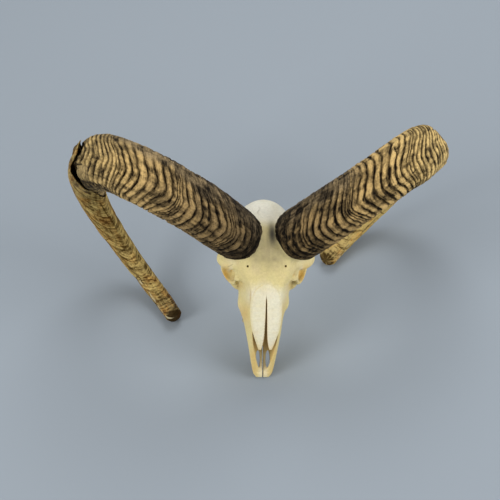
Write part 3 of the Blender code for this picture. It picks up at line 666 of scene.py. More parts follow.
class HornGrid:
    """The points of one length of a horn, row after row. Each has its distance from the rim, its angle
    round the horn, the girth and the radius of the section there, and a place for noise on a straight
    horn: girth cos(angle), girth sin(angle), distance."""

    def __init__(self, horn, distance, lower, seed):
        self.horn = horn
        self.seed = seed
        self.distance = distance
        self.lower = lower + 0 * distance
        self.degrees = np.degrees(fold(self.lower))
        self.girth, self.radius = girth_at(horn, distance, self.lower)
        self.round_it = np.stack([self.girth * np.cos(self.lower), self.girth * np.sin(self.lower)], -1)
        self.place = np.concatenate([self.round_it, distance[..., None]], -1)

    def noise(self, size, key):
        """Noise in lumps of that size."""
        return unevenness(self.place, size, self.seed + key)

    def line_noise(self, value, size, key):
        """Noise that changes with a value, and only over that size along a line of one value."""
        return unevenness(np.concatenate([value[..., None], self.round_it / size], -1), 1, self.seed + key)

    def thread_noise(self, size, length, key):
        """Noise in threads of that size round the horn and that length along it."""
        drawn_out = np.concatenate([self.round_it / size, self.distance[..., None] / length], -1)
        return unevenness(drawn_out, 1, self.seed + key)

    def flow(self, level):
        """Where the material's fibres are read: round the horn and across its level lines, in metres."""
        return np.concatenate([self.round_it, level[..., None]], -1) * MM


class Rings(HornGrid):
    """The ridged length's grid, with its rings, its worn places and its end at each point."""

    def __init__(self, horn):
        lower = round_the_horn(RIDGED_COLUMNS)
        self.edge = mouth(horn, lower)
        distance = np.linspace(0, 1, RIDGED_ROWS)[:, None] * (self.edge + UNDERLAP)
        super().__init__(horn, distance, lower, horn["seed"])
        self.cloud = self.noise((22, 22, 40), 9)
        self.patchy = self.noise((6, 6, 9), 15)
        self.streak = self.thread_noise(2.6, 34, 8)
        self.cracks = cracks_at(horn, distance, self.lower, self.girth)
        self.number()
        self.wear()
        self.swell_up()
        self.sink()

    def number(self):
        """Counts the rings along the level lines, which drift a little with noise. Three noises that keep
        to a ring make it differ as a whole, in knots and in beads."""
        self.level = ring_level(self.horn, self.distance, self.lower, self.girth)
        drift = 2.4 * self.noise((30, 30, 24), 0) + 1.0 * self.noise((9, 9, 12), 1)
        drift = drift + 0.4 * self.noise((4, 4, 9), 12)
        self.count, self.slow = ring_count(self.horn, self.level + drift * smooth(0, 25, self.distance))
        self.ring = np.floor(self.count)
        self.own = self.line_noise(self.ring * RING_STEP, 26, 2)
        self.bead = self.line_noise(self.ring * RING_STEP, 4.6, 3)
        self.knot = self.line_noise(self.ring * RING_STEP, 8, 4)
        self.fibre = self.line_noise(self.level / 1.5, 11, 6)

    def wear(self):
        """How broken up the upper side is and how worn its edge, and where the inner side begins. On the
        torn horn also the patch that is worn smooth at the break, the rough saddle behind it and the
        crotch, where the two lengths meet below."""
        degrees, distance, torn = self.degrees, self.distance, self.horn["torn"]
        self.upper = (smooth(-6, -40, degrees + 14 * self.own) * smooth(-150, -110, degrees)
                      * eased(self.horn["broken"], distance))
        self.top = (smooth(-22, -42, degrees + 8 * self.own + 8 * self.noise(14, 17))
                    * smooth(-170, -120, degrees) * eased(self.horn["worn_top"], distance))
        self.inner = smooth(105, 140, np.abs(degrees))
        self.rift = smooth(0.3, 0.75, self.streak) * (0.5 + 0.5 * self.upper)
        patch = (smooth(36, 44, degrees) * smooth(221, 227, distance + 2 * self.own)
                 * smooth(92, 80, degrees))
        saddle = smooth(70, 80, degrees) * smooth(178, 196, distance)
        self.worn = np.clip(patch + saddle + self.inner * smooth(170, 230, distance), 0, 1) * torn
        self.saddle = saddle * torn
        self.rough = self.saddle * self.noise(3.2, 14)
        self.crotch = smooth(82, 94, degrees) * torn

    def swell_up(self):
        """Each ring swells as a wave of its fraction to the power 0.8, which puts the top a little nearer
        the rim. The crest is that swell, made steep between the two edges and ragged by beads. A split
        ring has a wave of half the length laid over its crest."""
        turn = (self.count - self.ring)**0.8
        self.swell = wave(turn)
        split = smooth(0.1, 0.5, self.noise((15, 15, 22), 5)) * 0.4 + 0.5 * self.upper
        self.split = np.clip(split, 0, 1) * (1 - 0.8 * smooth(110, 150, self.distance))
        self.ragged = 0.13 * self.bead + 0.1 * self.patchy
        steep, flat = self.horn["edges"]
        crest = smooth(steep, flat, self.swell + self.ragged * smooth(0, 0.3, self.swell))
        self.crest = crest + (0.35 + 0.65 * wave(2 * turn) - 1) * crest * 0.75 * self.split

    def sink(self):
        """How deep the ridged length lies as it goes under the old sheath, and the pit in the torn one."""
        torn, pit = self.horn["torn"], TORN_PIT
        reach = 5 + torn * bumps(self.lower, TORN_REACH)
        self.sunk = 1.8 * (1 - 0.7 * self.crotch) + torn * bumps(self.lower, TORN_DEPTH)
        self.pit = (np.exp(-((self.distance - pit["distance"]) / pit["length"])**2)
                    * lobe(self.lower, pit["angle"], pit["width"]) * torn)
        self.under = (smooth(-1, -0.6, (self.distance - self.edge) / reach) * self.sunk
                      + pit["depth"] * self.pit)


def groove_strength(rings):
    """How deep the grooves are, about 1: they differ by ring and by knot, and are shallower where the horn
    is broken up or worn, on the inner side, in slow growth, near the rim and past the turn."""
    strength = ((0.95 + 0.3 * rings.own + 0.35 * rings.knot * (0.4 + rings.upper))
                * (1 - 0.8 * rings.upper) * (1 - 0.75 * rings.top))
    strength = (strength * (1 - 0.55 * rings.inner) * (1 - 0.35 * rings.slow)
                * (0.55 + 0.45 * smooth(4, 40, rings.distance)))
    return strength * (1 - 0.4 * smooth(175, 215, rings.distance))


def ridged_radius(rings):
    """The section's radius with its relief: grooves, beads on the crests, fibres, rifts, worn patches and
    cracks. It closes up at the end, under the old sheath."""
    crest, worn = rings.crest, rings.worn
    relief = (-GROOVE_DEPTH * groove_strength(rings) * (1 - crest)
              + (0.45 + 0.5 * rings.upper) * rings.bead * crest + 0.32 * rings.fibre)
    relief = relief - 0.9 * rings.rift
    relief = relief * (1 - worn) - 1.6 * worn + 0.8 * rings.noise(34, 7) - 2.5 * rings.cracks
    closing = np.sqrt(np.clip(1 - smooth(UNDERLAP / 4, UNDERLAP, rings.distance - rings.edge)**2, 0, 1))
    return (rings.radius - 0.2 + relief + 0.7 * rings.rough - rings.under) * (0.25 + 0.75 * closing)


def ridged_tone_and_shading(rings):
    """How light the horn is: painted shade in the grooves, lighter on the crests and a painted highlight
    along their ridges, and uneven by ring, bead, knot and patch. Broken and worn places have a colour of
    their own, the base, the rifts and the cracks are dark, and what lies under the old sheath is painted
    shade."""
    horn, distance, crest, worn = rings.horn, rings.distance, rings.crest, rings.worn
    depth = rings.line_noise(np.floor(rings.count + 0.5) * RING_STEP, 13, 16)
    # How light the grooves' painted shade is: it differs by ring, and it lifts past the turn.
    shallow = np.clip(horn["floor"] + 0.3 * depth + horn["faded"] * smooth(125, 175, distance), 0, 0.6)
    varied = (1.0 + 0.3 * rings.own + 0.42 * rings.bead + 0.3 * rings.knot + 0.32 * rings.patchy
              - 0.25 * rings.streak)
    # The painted highlight along the top of each ridge.
    ridge_highlight = smooth(0.45, 1, rings.swell + 1.6 * rings.ragged) * (1 - 0.7 * rings.split)
    light = (shallow + (1 - shallow) * (0.46 * crest + 0.46 * ridge_highlight)) * varied
    broken = 0.54 + 0.2 * rings.knot + 0.3 * rings.bead + 0.2 * rings.own + 0.5 * rings.patchy
    light = light + 0.75 * (broken - 0.06 * rings.top - light) * np.maximum(0.6 * rings.upper, rings.top)
    light = (light * (1 - 0.5 * rings.rift) * (1 - 0.35 * smooth(0.0, 0.6, rings.cloud))
             + 0.2 * rings.fibre)
    light = light * (0.4 + 0.6 * smooth(2, 46, distance))
    light = light * (1 - worn) + worn * (0.55 + 0.3 * rings.fibre + 0.3 * rings.cloud)
    light = light + 0.35 * rings.rough - 0.34 * rings.saddle
    # What lies under the old sheath's mouth is painted shade, less so at the crotch.
    sheath_shade = smooth(0.25, 0.7, rings.under / rings.sunk) * (1 - 0.85 * rings.crotch)
    light = light * (1 - sheath_shade) * (1 - rings.pit) + 0.04 * horn["torn"] * (1 - crest)
    return np.clip(light * (1 - 0.35 * rings.slow), 0, 1) * (1 - rings.cracks)


def young_sheath(horn, name):
    """The ridged length, from just inside its rim to its end under the old sheath."""
    rings = Rings(horn)
    grey = (rings.top + rings.upper * (0.5 + 0.4 * rings.knot) + 0.4 * rings.worn + 0.25 * rings.cloud
            + 0.12 * horn["torn"])
    marks = {
        "light": ridged_tone_and_shading(rings),
        "ripe": np.clip(rings.distance / 250 + horn["early"] + 0.06 * rings.own, 0, 1),
        "grey": np.clip(grey, 0, 1),
        "flow": rings.flow(rings.level),
    }
    points = on_horn(horn, rings.distance, rings.lower, ridged_radius(rings))
    centre = points[0].mean(0)
    inside = centre + (points[3].mean(0) - centre) * 2
    rim = inside + (points[0] - centre) * np.array(RIM_TURNED_IN)[:, None, None]
    marks = {key: np.concatenate([value[:1], value[:1], value]) for key, value in marks.items()}
    return tube(f"{name}_ridged", np.concatenate([rim, points]), marks)


class Growth(HornGrid):
    """The old, smooth length's grid, which begins on the lip's inner wall, with its growth lines, cracks
    and pocks at each point. distance + swing cos(angle from the keel) is level on a growth line."""

    def __init__(self, horn):
        lower = round_the_horn(OLD_COLUMNS)
        self.edge = mouth(horn, lower)
        self.end = horn_length(horn)[1][-1]
        wall = self.edge + np.array([past for past, _, _ in LIP_WALL])[:, None]
        share = np.linspace(0, 1, OLD_ROWS)[:, None]**1.15
        distance = np.concatenate([wall, self.edge + share * (self.end - self.edge)])
        super().__init__(horn, distance, lower, horn["seed"] + OLD_SEED)
        swing = eased(GROWTH_SWING, distance)
        self.level = distance + swing * np.cos(self.lower - math.radians(KEEL)) + 2 * self.noise(18, 0)
        self.line = self.line_noise(self.level / 2.2, 9, 1)
        self.broad = self.line_noise(self.level / 9, 14, 2)
        self.thread = self.thread_noise(1.8, 40, 8)
        self.ages = np.abs(np.sin(math.pi * self.level / YEAR))**0.25
        self.pocks = smooth(0.35, 0.6, self.noise((3, 3, 5), 7)) * lobe(self.lower, 150, 40)
        self.cracks = np.maximum(cracks_at(horn, distance, self.lower, self.girth), 0.75 * self.notches())

    def notches(self):
        """Short nicks across the lower edge and the inner keel."""
        nicked = smooth(0.42, 0.62, self.line_noise(self.distance / 2.4, 16, 6))
        nicked = nicked * np.maximum(lobe(self.lower, 118, 22), 0.8 * lobe(self.lower, 188, 16))
        return nicked * smooth(285, 320, self.distance)


def old_radius(growth):
    """The section's radius with its relief: growth lines, threads, cracks and pocks. The edge flares out,
    the wall inside it is thinner by the lip, and the tip rounds off as a blunted circle."""
    distance, lower = growth.distance, growth.lower
    relief = (0.4 * growth.line + 0.3 * growth.broad + 0.15 * growth.thread - 0.9 * (1 - growth.ages)
              - 1.5 * growth.cracks - 0.4 * growth.pocks)
    relief = relief + 0.6 * growth.noise(20, 3)
    flare = 0.5 * smooth(30, 0, distance - growth.edge)
    if growth.horn["torn"]:
        flare = flare + bumps(lower, SPLINTER) * smooth(18, 0, distance - growth.edge)
        flare = flare + bumps(lower, SUNK_EDGE) * smooth(340, 290, distance)
    radius = growth.radius + relief + flare
    wall = len(LIP_WALL)
    radius[:wall] = radius[wall] - LIP * np.array([depth for _, depth, _ in LIP_WALL])[:, None]
    blunt = np.clip((growth.end - distance) / TIP_ROUND, 0, 1)
    return radius * np.sqrt(np.clip(1 - 0.82 * (1 - blunt)**2, 0, 1))


def old_sheath(horn, name):
    """The old, smooth length: lines and threads of light and dark, darker towards the torn horn's tip,
    with pale chips along the lower edge near it and rust in patches. The lip's inner wall is painted
    shade."""
    growth = Growth(horn)
    distance, lower, end = growth.distance, growth.lower, growth.end
    dark = smooth(end - 70, end, distance) * (0.3 + 0.7 * horn["torn"])
    # old_light is partly painted light: on the right horn it lifts the old length out of the shade under
    # the curl.
    light = (0.52 + horn["old_light"] + 0.55 * growth.line + 0.15 * growth.broad
             + horn["streaks"] * growth.thread + 0.3 * lobe(lower, 214, 22))
    light = light - 0.14 * dark - 0.35 * (1 - growth.ages) - 0.9 * smooth(end - 6, end - 2, distance)
    light = light - 0.35 * growth.pocks + 0.16 * smooth(440, 520, distance) * lobe(lower, 150, 40)
    # The lip's inner wall is painted shade, darkest furthest into the mouth.
    for row, (_, _, tone) in enumerate(LIP_WALL):
        if tone is not None:
            light[row] = tone
    chips = smooth(0.05, 0.3, growth.noise((2.5, 2.5, 5), 4)) * lobe(lower, 122, 10)
    rust = growth.noise((9, 9, 16), 9) + 0.5 * growth.noise((3, 3, 5), 10)
    marks = {
        "light": np.clip(light, 0, 1) * (1 - growth.cracks),
        "ripe": np.clip(1 - 0.5 * dark, 0, 1),
        "grey": np.clip(0.1 + 0.25 * dark + 0.3 * growth.noise(25, 5), 0, 1),
        "chips": 0.8 * chips * smooth(535, 555, distance),
        "rust": np.clip(0.15 + 1.1 * rust, 0, 1),
        "flow": growth.flow(growth.level),
    }
    return tube(f"{name}_old", on_horn(horn, distance, lower, old_radius(growth)), marks)


# --------------------------------------------------------------------------------------------- the bone
AXES = [np.arange(low, high + GRAIN / 2, GRAIN, dtype=np.float32)
        for low, high in zip(BLOCK_LOW, BLOCK_HIGH)]


def window(low, high, reach=14.0):
    """The part of the block round a box, with room for soft joins, and the places along its axes."""
    cut = []
    for places, a, b in zip(AXES, low, high):
        cut.append(slice(*np.searchsorted(places, (a - reach, b + reach))))
    x, y, z = (places[part] for places, part in zip(AXES, cut))
    return tuple(cut), x[:, None, None], y[None, :, None], z[None, None, :]


def soft_least(a, b, soft):
    """The smaller of two fields, rounded where they are nearly equal: the cubic blend of their gap."""
    gap = np.clip(0.5 + 0.5 * (b - a) / soft, 0, 1)
    return b + (a - b) * gap - soft * gap * (1 - gap)


def join(field, cut, shape, soft):
    """Adds a shape to the field, softly."""
    field[cut] = soft_least(field[cut], shape, soft)


def carve(field, cut, shape, soft):
    """Takes a shape out of the field, softly."""
    field[cut] = -soft_least(-field[cut], shape, soft)


def ball(centre, radii):
    """Nearly the distance to an ellipsoid: k (k - 1) / g, where k is the scaled distance from its centre
    and g the same scaled once more."""
    centre, radii = np.array(centre, float), np.array(radii, float)
    cut, x, y, z = window(centre - radii, centre + radii)
    offsets = [(p - c) / r for p, c, r in zip((x, y, z), centre, radii)]
    k = np.sqrt(sum(o * o for o in offsets)) + 1e-6
    g = np.sqrt(sum((o / r)**2 for o, r in zip(offsets, radii))) + 1e-6
    return cut, k * (k - 1) / g


def rod(knots, soft=2.0):
    """The distance to a chain of round bars: for each, the distance to its line less the radius there."""
    points = np.array([place for place, _ in knots], float)
    radii = np.array([radius for _, radius in knots], float)
    cut, x, y, z = window(points.min(0) - radii.max(), points.max(0) + radii.max())
    shape = None
    for (a, b), (ra, rb) in zip(zip(points, points[1:]), zip(radii, radii[1:])):
        line = b - a
        share = ((x - a[0]) * line[0] + (y - a[1]) * line[1] + (z - a[2]) * line[2]) / (line @ line)
        share = np.clip(share, 0, 1)
        away = np.sqrt((x - a[0] - share * line[0])**2 + (y - a[1] - share * line[1])**2
                       + (z - a[2] - share * line[2])**2) - (ra + share * (rb - ra))
        shape = away if shape is None else soft_least(shape, away, soft)
    return cut, shape


def ring_bar(side):
    """The distance to the bony rim round one eye: a torus that faces outwards, forwards and up."""
    centre = mirrored(EYE_RING["centre"], side)
    centre[0] += EYE_RING["left_inset"] * (side < 0)
    reach = EYE_RING["radius"] + EYE_RING["thickness"]
    cut, x, y, z = window(centre - reach, centre + reach)
    lean, sweep = math.radians(EYE_RING["lean"]), math.radians(EYE_RING["sweep"])
    facing = np.array([side * math.cos(lean) * math.cos(sweep), -math.cos(lean) * math.sin(sweep),
                       math.sin(lean)])
    out = (x - centre[0]) * facing[0] + (y - centre[1]) * facing[1] + (z - centre[2]) * facing[2]
    square = (x - centre[0])**2 + (y - centre[1])**2 + (z - centre[2])**2
    flat = np.sqrt(np.maximum(square - out**2, 0))
    return cut, np.sqrt((flat - EYE_RING["radius"])**2 + out**2) - EYE_RING["thickness"]


def outline_distance(across, up, corners):
    """The distance from points of a plane to a closed outline, less than zero inside it."""
    start = np.asarray(corners, np.float32)
    run = np.roll(start, -1, axis=0) - start
    best = np.full(np.broadcast(across, up).shape, 1e9, np.float32)
    odd = np.zeros(best.shape, bool)
    for (a, b), (da, db) in zip(start, run):
        share = np.clip(((across - a) * da + (up - b) * db) / (da * da + db * db + 1e-9), 0, 1)
        best = np.minimum(best, (across - a - share * da)**2 + (up - b - share * db)**2)
        if db:
            crossing = ((b > up) != (b + db > up)) & (across < a + da * (up - b) / db)
            odd ^= crossing
    return np.where(odd, -1, 1) * np.sqrt(best)


def round_outline(corners, steps=4):
    """A smooth closed curve through corners (Catmull-Rom)."""
    corners = np.array(corners, float)
    before, after, beyond = (np.roll(corners, shift, axis=0) for shift in (1, -1, -2))
    points = []
    for k in range(steps):
        u = k / steps
        points.append(0.5 * (2 * corners + (after - before) * u
                             + (2 * before - 5 * corners + 4 * after - beyond) * u**2
                             + (3 * corners - before - 3 * after + beyond) * u**3))
    return np.stack(points, axis=1).reshape(-1, 2)


def face_shape():
    """The face: at each place along the skull, the distance to the outline of its section there."""
    stations = FACE[::-1]
    tables = value_tables(stations, *range(1, 8))
    low, high = stations[0][0], stations[-1][0]
    cut, x, y, z = window((-FACE_BOX["half"], low, FACE_BOX["low"]),
                          (FACE_BOX["half"], high, FACE_BOX["high"]))
    half = np.abs(x[:, 0, 0])[:, None]
    shape = np.empty(np.broadcast(x, y, z).shape, np.float32)
    for n, place in enumerate(y[0, :, 0]):
        top, roof, fall, cheek, crest, gum, palate = (float(eased(table, place)) for table in tables)
        side = [(roof * 0.55, top - fall * 0.2), (roof, top - fall), (cheek, crest), (gum, palate + 2)]
        corners = [(0, top)] + side + [(0, palate)] + [(-a, b) for a, b in reversed(side)]
        shape[:, n, :] = outline_distance(half, z[0, 0, :][None, :], round_outline(corners))
        shape[:, n, :] = np.maximum(shape[:, n, :], max(low - place, place - high))
    return cut, shape


def channel(table):
    """A hollow along the face: |across / half|^p + |up / rise|^p = 1, with half and rise eased and p the
    squareness."""
    rows = sorted(table)
    low, high = rows[0][0], rows[-1][0]
    cut, x, y, z = window((-20, low, min(r[3] for r in rows)), (20, high, max(r[2] for r in rows)))
    place = y[0, :, 0]
    half, top, bottom = (eased(table, place)[None, :, None] for table in value_tables(rows, 1, 2, 3))
    rise, middle = (top - bottom) / 2, (top + bottom) / 2
    power = CHANNEL_SQUARENESS
    size = (np.abs(x / half)**power + np.abs((z - middle) / rise)**power)**(1 / power)
    return cut, np.maximum((size - 1) * np.minimum(half, rise), np.maximum(low - y, y - high))


def prism(outline):
    """An outline seen from the side, carried straight across the whole block."""
    cut, _, y, z = window(BLOCK_LOW, BLOCK_HIGH)
    return cut, outline_distance(y[0], z[0], outline)[None]


def nose_bed():
    """The room for both nose bones: over their underside, and between their outer edges."""
    rows = sorted(NOSE_BONE)
    low, high = rows[0][0], rows[-1][0]
    cut, x, y, z = window((-24, low, -40), (24, high, 10), 4)
    outer, top, fall = (eased(table, y[0, :, 0])[None, :, None]
                        for table in (*value_tables(rows, 2, 3), NOSE_BONE_FALL))
    under = top - fall * (x / NOSE_HALF_WIDTH)**2 - NOSE_BONE_THICK - GAP
    ends = np.maximum(low - y, y - high)
    return cut, np.maximum(np.maximum(np.abs(x) - outer, under - z), ends)


def horn_core(horn):
    """The bony stump that carries a horn, from inside its sheath down into the brow."""
    line = spiral(horn, (0.0, 0.01))[0]
    up = (line[1] - line[0]) / np.linalg.norm(line[1] - line[0])
    root = line[0]
    return rod(((root + up * CORE_STUMP, CORE_RADIUS), (root - up * CORE_ROOT / 2, CORE_RADIUS - 1),
                (root - up * CORE_ROOT, CORE_END_RADIUS)))


def skull_field():
    """The distance to the bone, less than zero inside it: masses and bars joined, then carved. The last
    number of each join and carve is how softly it blends, in millimetres."""
    field = np.full(tuple(len(places) for places in AXES), OUTSIDE_BONE, np.float32)
    join(field, *face_shape(), 4)
    for centre, radii, soft in MIDDLE_MASSES.values():
        join(field, *ball(centre, radii), soft)
    join(field, *rod(SKULL_FLOOR), 4)
    for side in (1, -1):
        for centre, radii, soft in PAIRED_MASSES.values():
            join(field, *ball(mirrored(centre, side), radii), soft)
        for knots, soft in PAIRED_BARS.values():
            join(field, *rod([(mirrored(place, side), radius) for place, radius in knots]), soft)
        join(field, *ring_bar(side), 3)
    for horn in (LEFT_HORN, RIGHT_HORN):
        join(field, *horn_core(horn), 7)
    carve(field, *channel(NOSE_HOLLOW), 1.5)
    carve(field, *channel(MOUTH_ROOF), 2)
    carve(field, *prism(NOSE_MOUTH_CUT), 1)
    centre, radii, soft = NECK_HOLE
    carve(field, *ball(centre, radii), soft)
    for side in (1, -1):
        for centre, radii, soft in (EYE_HOLLOW, EYE_DEEP, TEAR_PIT, NERVE_HOLE, SLIT_HOLE):
            carve(field, *ball(mirrored(centre, side), radii), soft)
        place = mirrored(BROW_HOLE["place"], side)
        reach = np.array([0, 0, BROW_HOLE["depth"]])
        carve(field, *rod(((place + reach, BROW_HOLE["radius"]), (place - reach, BROW_HOLE["radius"]))), 1)
    carve(field, *nose_bed(), 0.5)
    return field


def seam_wobble():
    """A seam's zigzag: three sine waves with a few millimetres between their turns."""
    shape = tuple(len(places) for places in AXES)
    x, y, z = (places.reshape([-1 if n == axis else 1 for n in range(3)])
               for axis, places in enumerate(AXES))
    zigzag = np.sin(x / 1.3) + np.sin(x / 0.83 + y / 3.1) + np.sin(y / 1.7 + z / 1.5)
    return np.broadcast_to(SEAM_SWING * zigzag, shape)


def bone_regions():
    """For each bone, a field that is less than zero in its share of the block."""
    x = AXES[0][:, None, None]
    wobble = seam_wobble()

    def whole(outline):
        return prism(outline)[1] + wobble

    regions = {f"cheekbone_{name}": np.maximum(whole(CHEEK_SEAM), CHEEK_INNER - side * x)
               for side, name in SIDES}
    taken = np.minimum(*regions.values())
    regions["brow"] = np.maximum(whole(BROW_SEAM), -taken)
    taken = np.minimum(taken, regions["brow"])
    temple = np.maximum(whole(TEMPLE_SEAM), -taken)
    temples = {f"temple_{name}": np.maximum(temple, TEMPLE_INNER - side * x) for side, name in SIDES}
    regions.update(temples)
    taken = np.minimum(taken, np.minimum(*temples.values()))
    regions["skull_base"] = np.maximum(whole(BASE_SEAM), -taken)
    taken = np.minimum(taken, regions["skull_base"])
    regions["braincase"] = np.maximum(whole(CASE_SEAM), -taken)
    taken = np.minimum(taken, regions["braincase"])
    front = whole(JAW_SEAM)
    for side, name in SIDES:
        split = (FRONT_GAP + OVERLAP) * smooth(-106, -114, AXES[1])[None, :, None]
        regions[f"front_jaw_{name}"] = np.maximum(np.maximum(front, -taken), split - side * x)
        regions[f"upper_jaw_{name}"] = np.maximum(np.maximum(-front, -taken), -side * x)
    return regions


def box_blur(values, reach):
    """The mean over a cube round each point: running sums along each axis in turn."""
    for axis in range(3):
        padded = np.concatenate([np.repeat(values.take([0], axis), reach + 1, axis), values,
                                 np.repeat(values.take([-1], axis), reach, axis)], axis)
        total = np.cumsum(padded, axis, dtype=np.float64)
        size = values.shape[axis]
        values = ((total.take(range(2 * reach + 1, 2 * reach + 1 + size), axis)
                   - total.take(range(size), axis)) / (2 * reach + 1)).astype(np.float32)
    return values


def read_block(values, points):
    """A field of the block read at points, with the nearest eight values blended."""
    place = (points - BLOCK_LOW) / GRAIN
    corner = np.clip(np.floor(place).astype(int), 0, np.array(values.shape) - 2)
    part = np.clip(place - corner, 0, 1)
    total = 0.0
    for (i, j, k), weight in cell_corners(part):
        total = total + weight * values[corner[:, 0] + i, corner[:, 1] + j, corner[:, 2] + k]
    return total


def spot(x, y, at, wide):
    """A soft spot: exp(-(x offset / half width)^2 - (y offset / half width)^2)."""
    return np.exp(-((x - at[0]) / wide[0])**2 - ((y - at[1]) / wide[1])**2)


def bone_marks(points, deep, inside_nose, seam):
    """What the bone's material reads at each point, from 0 to 1: how chalky, pale, ochre and grey it is,
    how far down in a hollow and how far inside the nose (both for painted shade), how much painted
    shadow of the right horn's rim it has and how near to a suture. Each is a sum of soft spots, eased
    steps along the skull and noise."""
    x, y, z = points.T
    across = np.abs(x)
    pair = {name: spot(across, y, *where) for name, where in PAIRED_SPOTS.items()}
    single = {name: spot(x, y, *where) for name, where in SINGLE_SPOTS.items()}
    cloud, mottle = unevenness(points, 15, 3), unevenness(points, 5, 4)
    streak = unevenness(points, (2.6, 16, 16), 6)

    # Pale: the dome, the eye sockets' upper rims, the root of the nose and the tip of the muzzle.
    pale = (smooth(46, 74, y) + 0.3 * pair["eye_roof"] + 1.6 * pair["nose_root"] + 0.28 * cloud
            + 0.12 * mottle)
    pale = pale + 0.4 * smooth(-105, -125, y) * smooth(8, 4, across)
    pale = pale + 0.7 * pair["eye_corner"]
    chalk = (0.25 * pair["nose_chalk"]
             + smooth(50, 80, y) * smooth(-70, -40, z) * (0.8 + 0.3 * cloud))

    # Ochre: the eye sockets, the cheeks and the sides of the muzzle.
    socket = pair["socket_front"] + smooth(0.55, 0.8, deep) * pair["socket"]
    cheek = pair["cheek"] * smooth(0, -12, z)
    ochre = 0.9 * socket + 0.2 * cheek + 0.5 * pair["muzzle"] + 0.16 * cloud + 0.1 * mottle
    ochre = ochre + 0.22 * single["tan"] + 0.5 * single["crease"]

    # Grey: the crown between the horns and the brow, the painted shadow by the right horn's rim, and the
    # lines of a few small faults.
    squiggle = spot(x + 9 + 1.6 * np.sin(y / 1.9), y, (0, 77), (1.1, 5))
    split = np.exp(-((y - 0.5 * (x + 53)) / 0.6)**2) * smooth(-54, -52, x) * smooth(-45, -47, x)
    middle = pair["crown"] * (0.75 + 0.15 * streak) + 0.35 * pair["crown_side"]
    grey = middle + 0.1 * pair["brow"] + 0.5 * single["shade"] + 0.25 * pair["brow_side"] * (1 + mottle)
    grey = grey * smooth(-30, -14, z) + 0.45 * squiggle + 0.3 * single["crease"] + 0.8 * split

    # The hollows and tear pits, which get painted shade, and the crooked suture along the middle of the
    # brow.
    tear = pair["tear_pit"] * smooth(-14, -20, z)
    crooked = x + 0.8 * np.sin(y * 1.7) + 0.5 * np.sin(y * 3.9)
    midline = np.exp(-(crooked / 0.55)**2) * smooth(-26, -18, y)
    midline = midline * smooth(60, 40, y)
    suture = np.exp(-(seam / 0.6)**2) * (0.6 + 0.5 * mottle)
    marks = {
        "chalk": chalk, "pale": pale, "ochre": ochre, "grey": grey,
        # Painted shade in the hollows and the tear pits.
        "hollow": np.maximum(smooth(0.52, 0.8, deep), 0.8 * tear),
        # Painted shade inside the nose.
        "nose": smooth(1.6, 0.2, inside_nose) * smooth(-128, -104, y),
        # The painted shadow by the right horn's rim.
        "shade": single["shade"],
        "suture": np.maximum(suture, 0.5 * midline),
    }
    return {name: np.clip(value, 0, 1) for name, value in marks.items()}


def bones(finish):
    """Each bone as a surface net of the skull's field and the bone's own region, whichever is greater.
    A bone reaches a little way under its neighbour, so that no gap shows at a suture. Then small noise
    lifts the surface, and the left cheek is drawn inwards."""
    field = skull_field()
    # How much bone lies round each point: the more, the deeper the painted shade of a hollow.
    mass = box_blur((field < 0).astype(np.float32), HOLLOW_REACH)
    cut, channel_field = channel(NOSE_HOLLOW)
    nose = np.full(field.shape, OUTSIDE_NOSE, np.float32)
    nose[cut] = channel_field
    for name, region in bone_regions().items():
        share = np.maximum(field, region - OVERLAP).astype(np.float32)
        points, quads = surface_net(share, BLOCK_LOW, GRAIN)
        marks = bone_marks(points, read_block(mass, points), read_block(nose, points),
                           read_block(region, points))
        rough = 0.1 * unevenness(points, 2.6, 31) + 0.25 * unevenness(points, 9, 32)
        points = points + rough[:, None] * [0, 0, 1]
        x, y = points[:, 0], points[:, 1]
        points[:, 0] = x + LEFT_CHEEK_INSET * smooth(20, 36, -x) * np.exp(-((y + 36) / 18)**2)
        piece = skin(name + "_bone", laid(points), (quads,), marks)
        piece.data.set_sharp_from_angle(angle=math.radians(SHARP_FOLD))
        finish(piece, name, "bone")


def nose_bone_marks(ring, under, outer, start, side):
    """What the bone's material reads on a nose bone: paler away from its edges, ochre towards its tip, and
    with painted shade underneath and along the gap between the two bones."""
    x, y, _ = np.moveaxis(ring, -1, 0)
    fade = smooth(-38, -24, y) + smooth(outer - 3, outer + 0.4, np.abs(x))
    return {
        "pale": np.clip(0.9 - 0.35 * fade + 0.12 * unevenness(ring, (12, 2, 12), 44), 0, 1),
        "ochre": np.clip(0.25 * smooth(-98, -114, y) + 0.08 * unevenness(ring, 6, 45), 0, 1),
        "grey": 0 * x, "hollow": 0.5 * under, "shade": 0 * x,
        "chalk": np.full(x.shape, 0.1 if side > 0 else 0.0),
        "nose": np.maximum(under, smooth(0.7, 0.1, np.abs(x) - start) * smooth(-38, -48, y)),
        "suture": 0.35 * np.exp(-((np.abs(x) - outer) / 0.7)**2),
    }


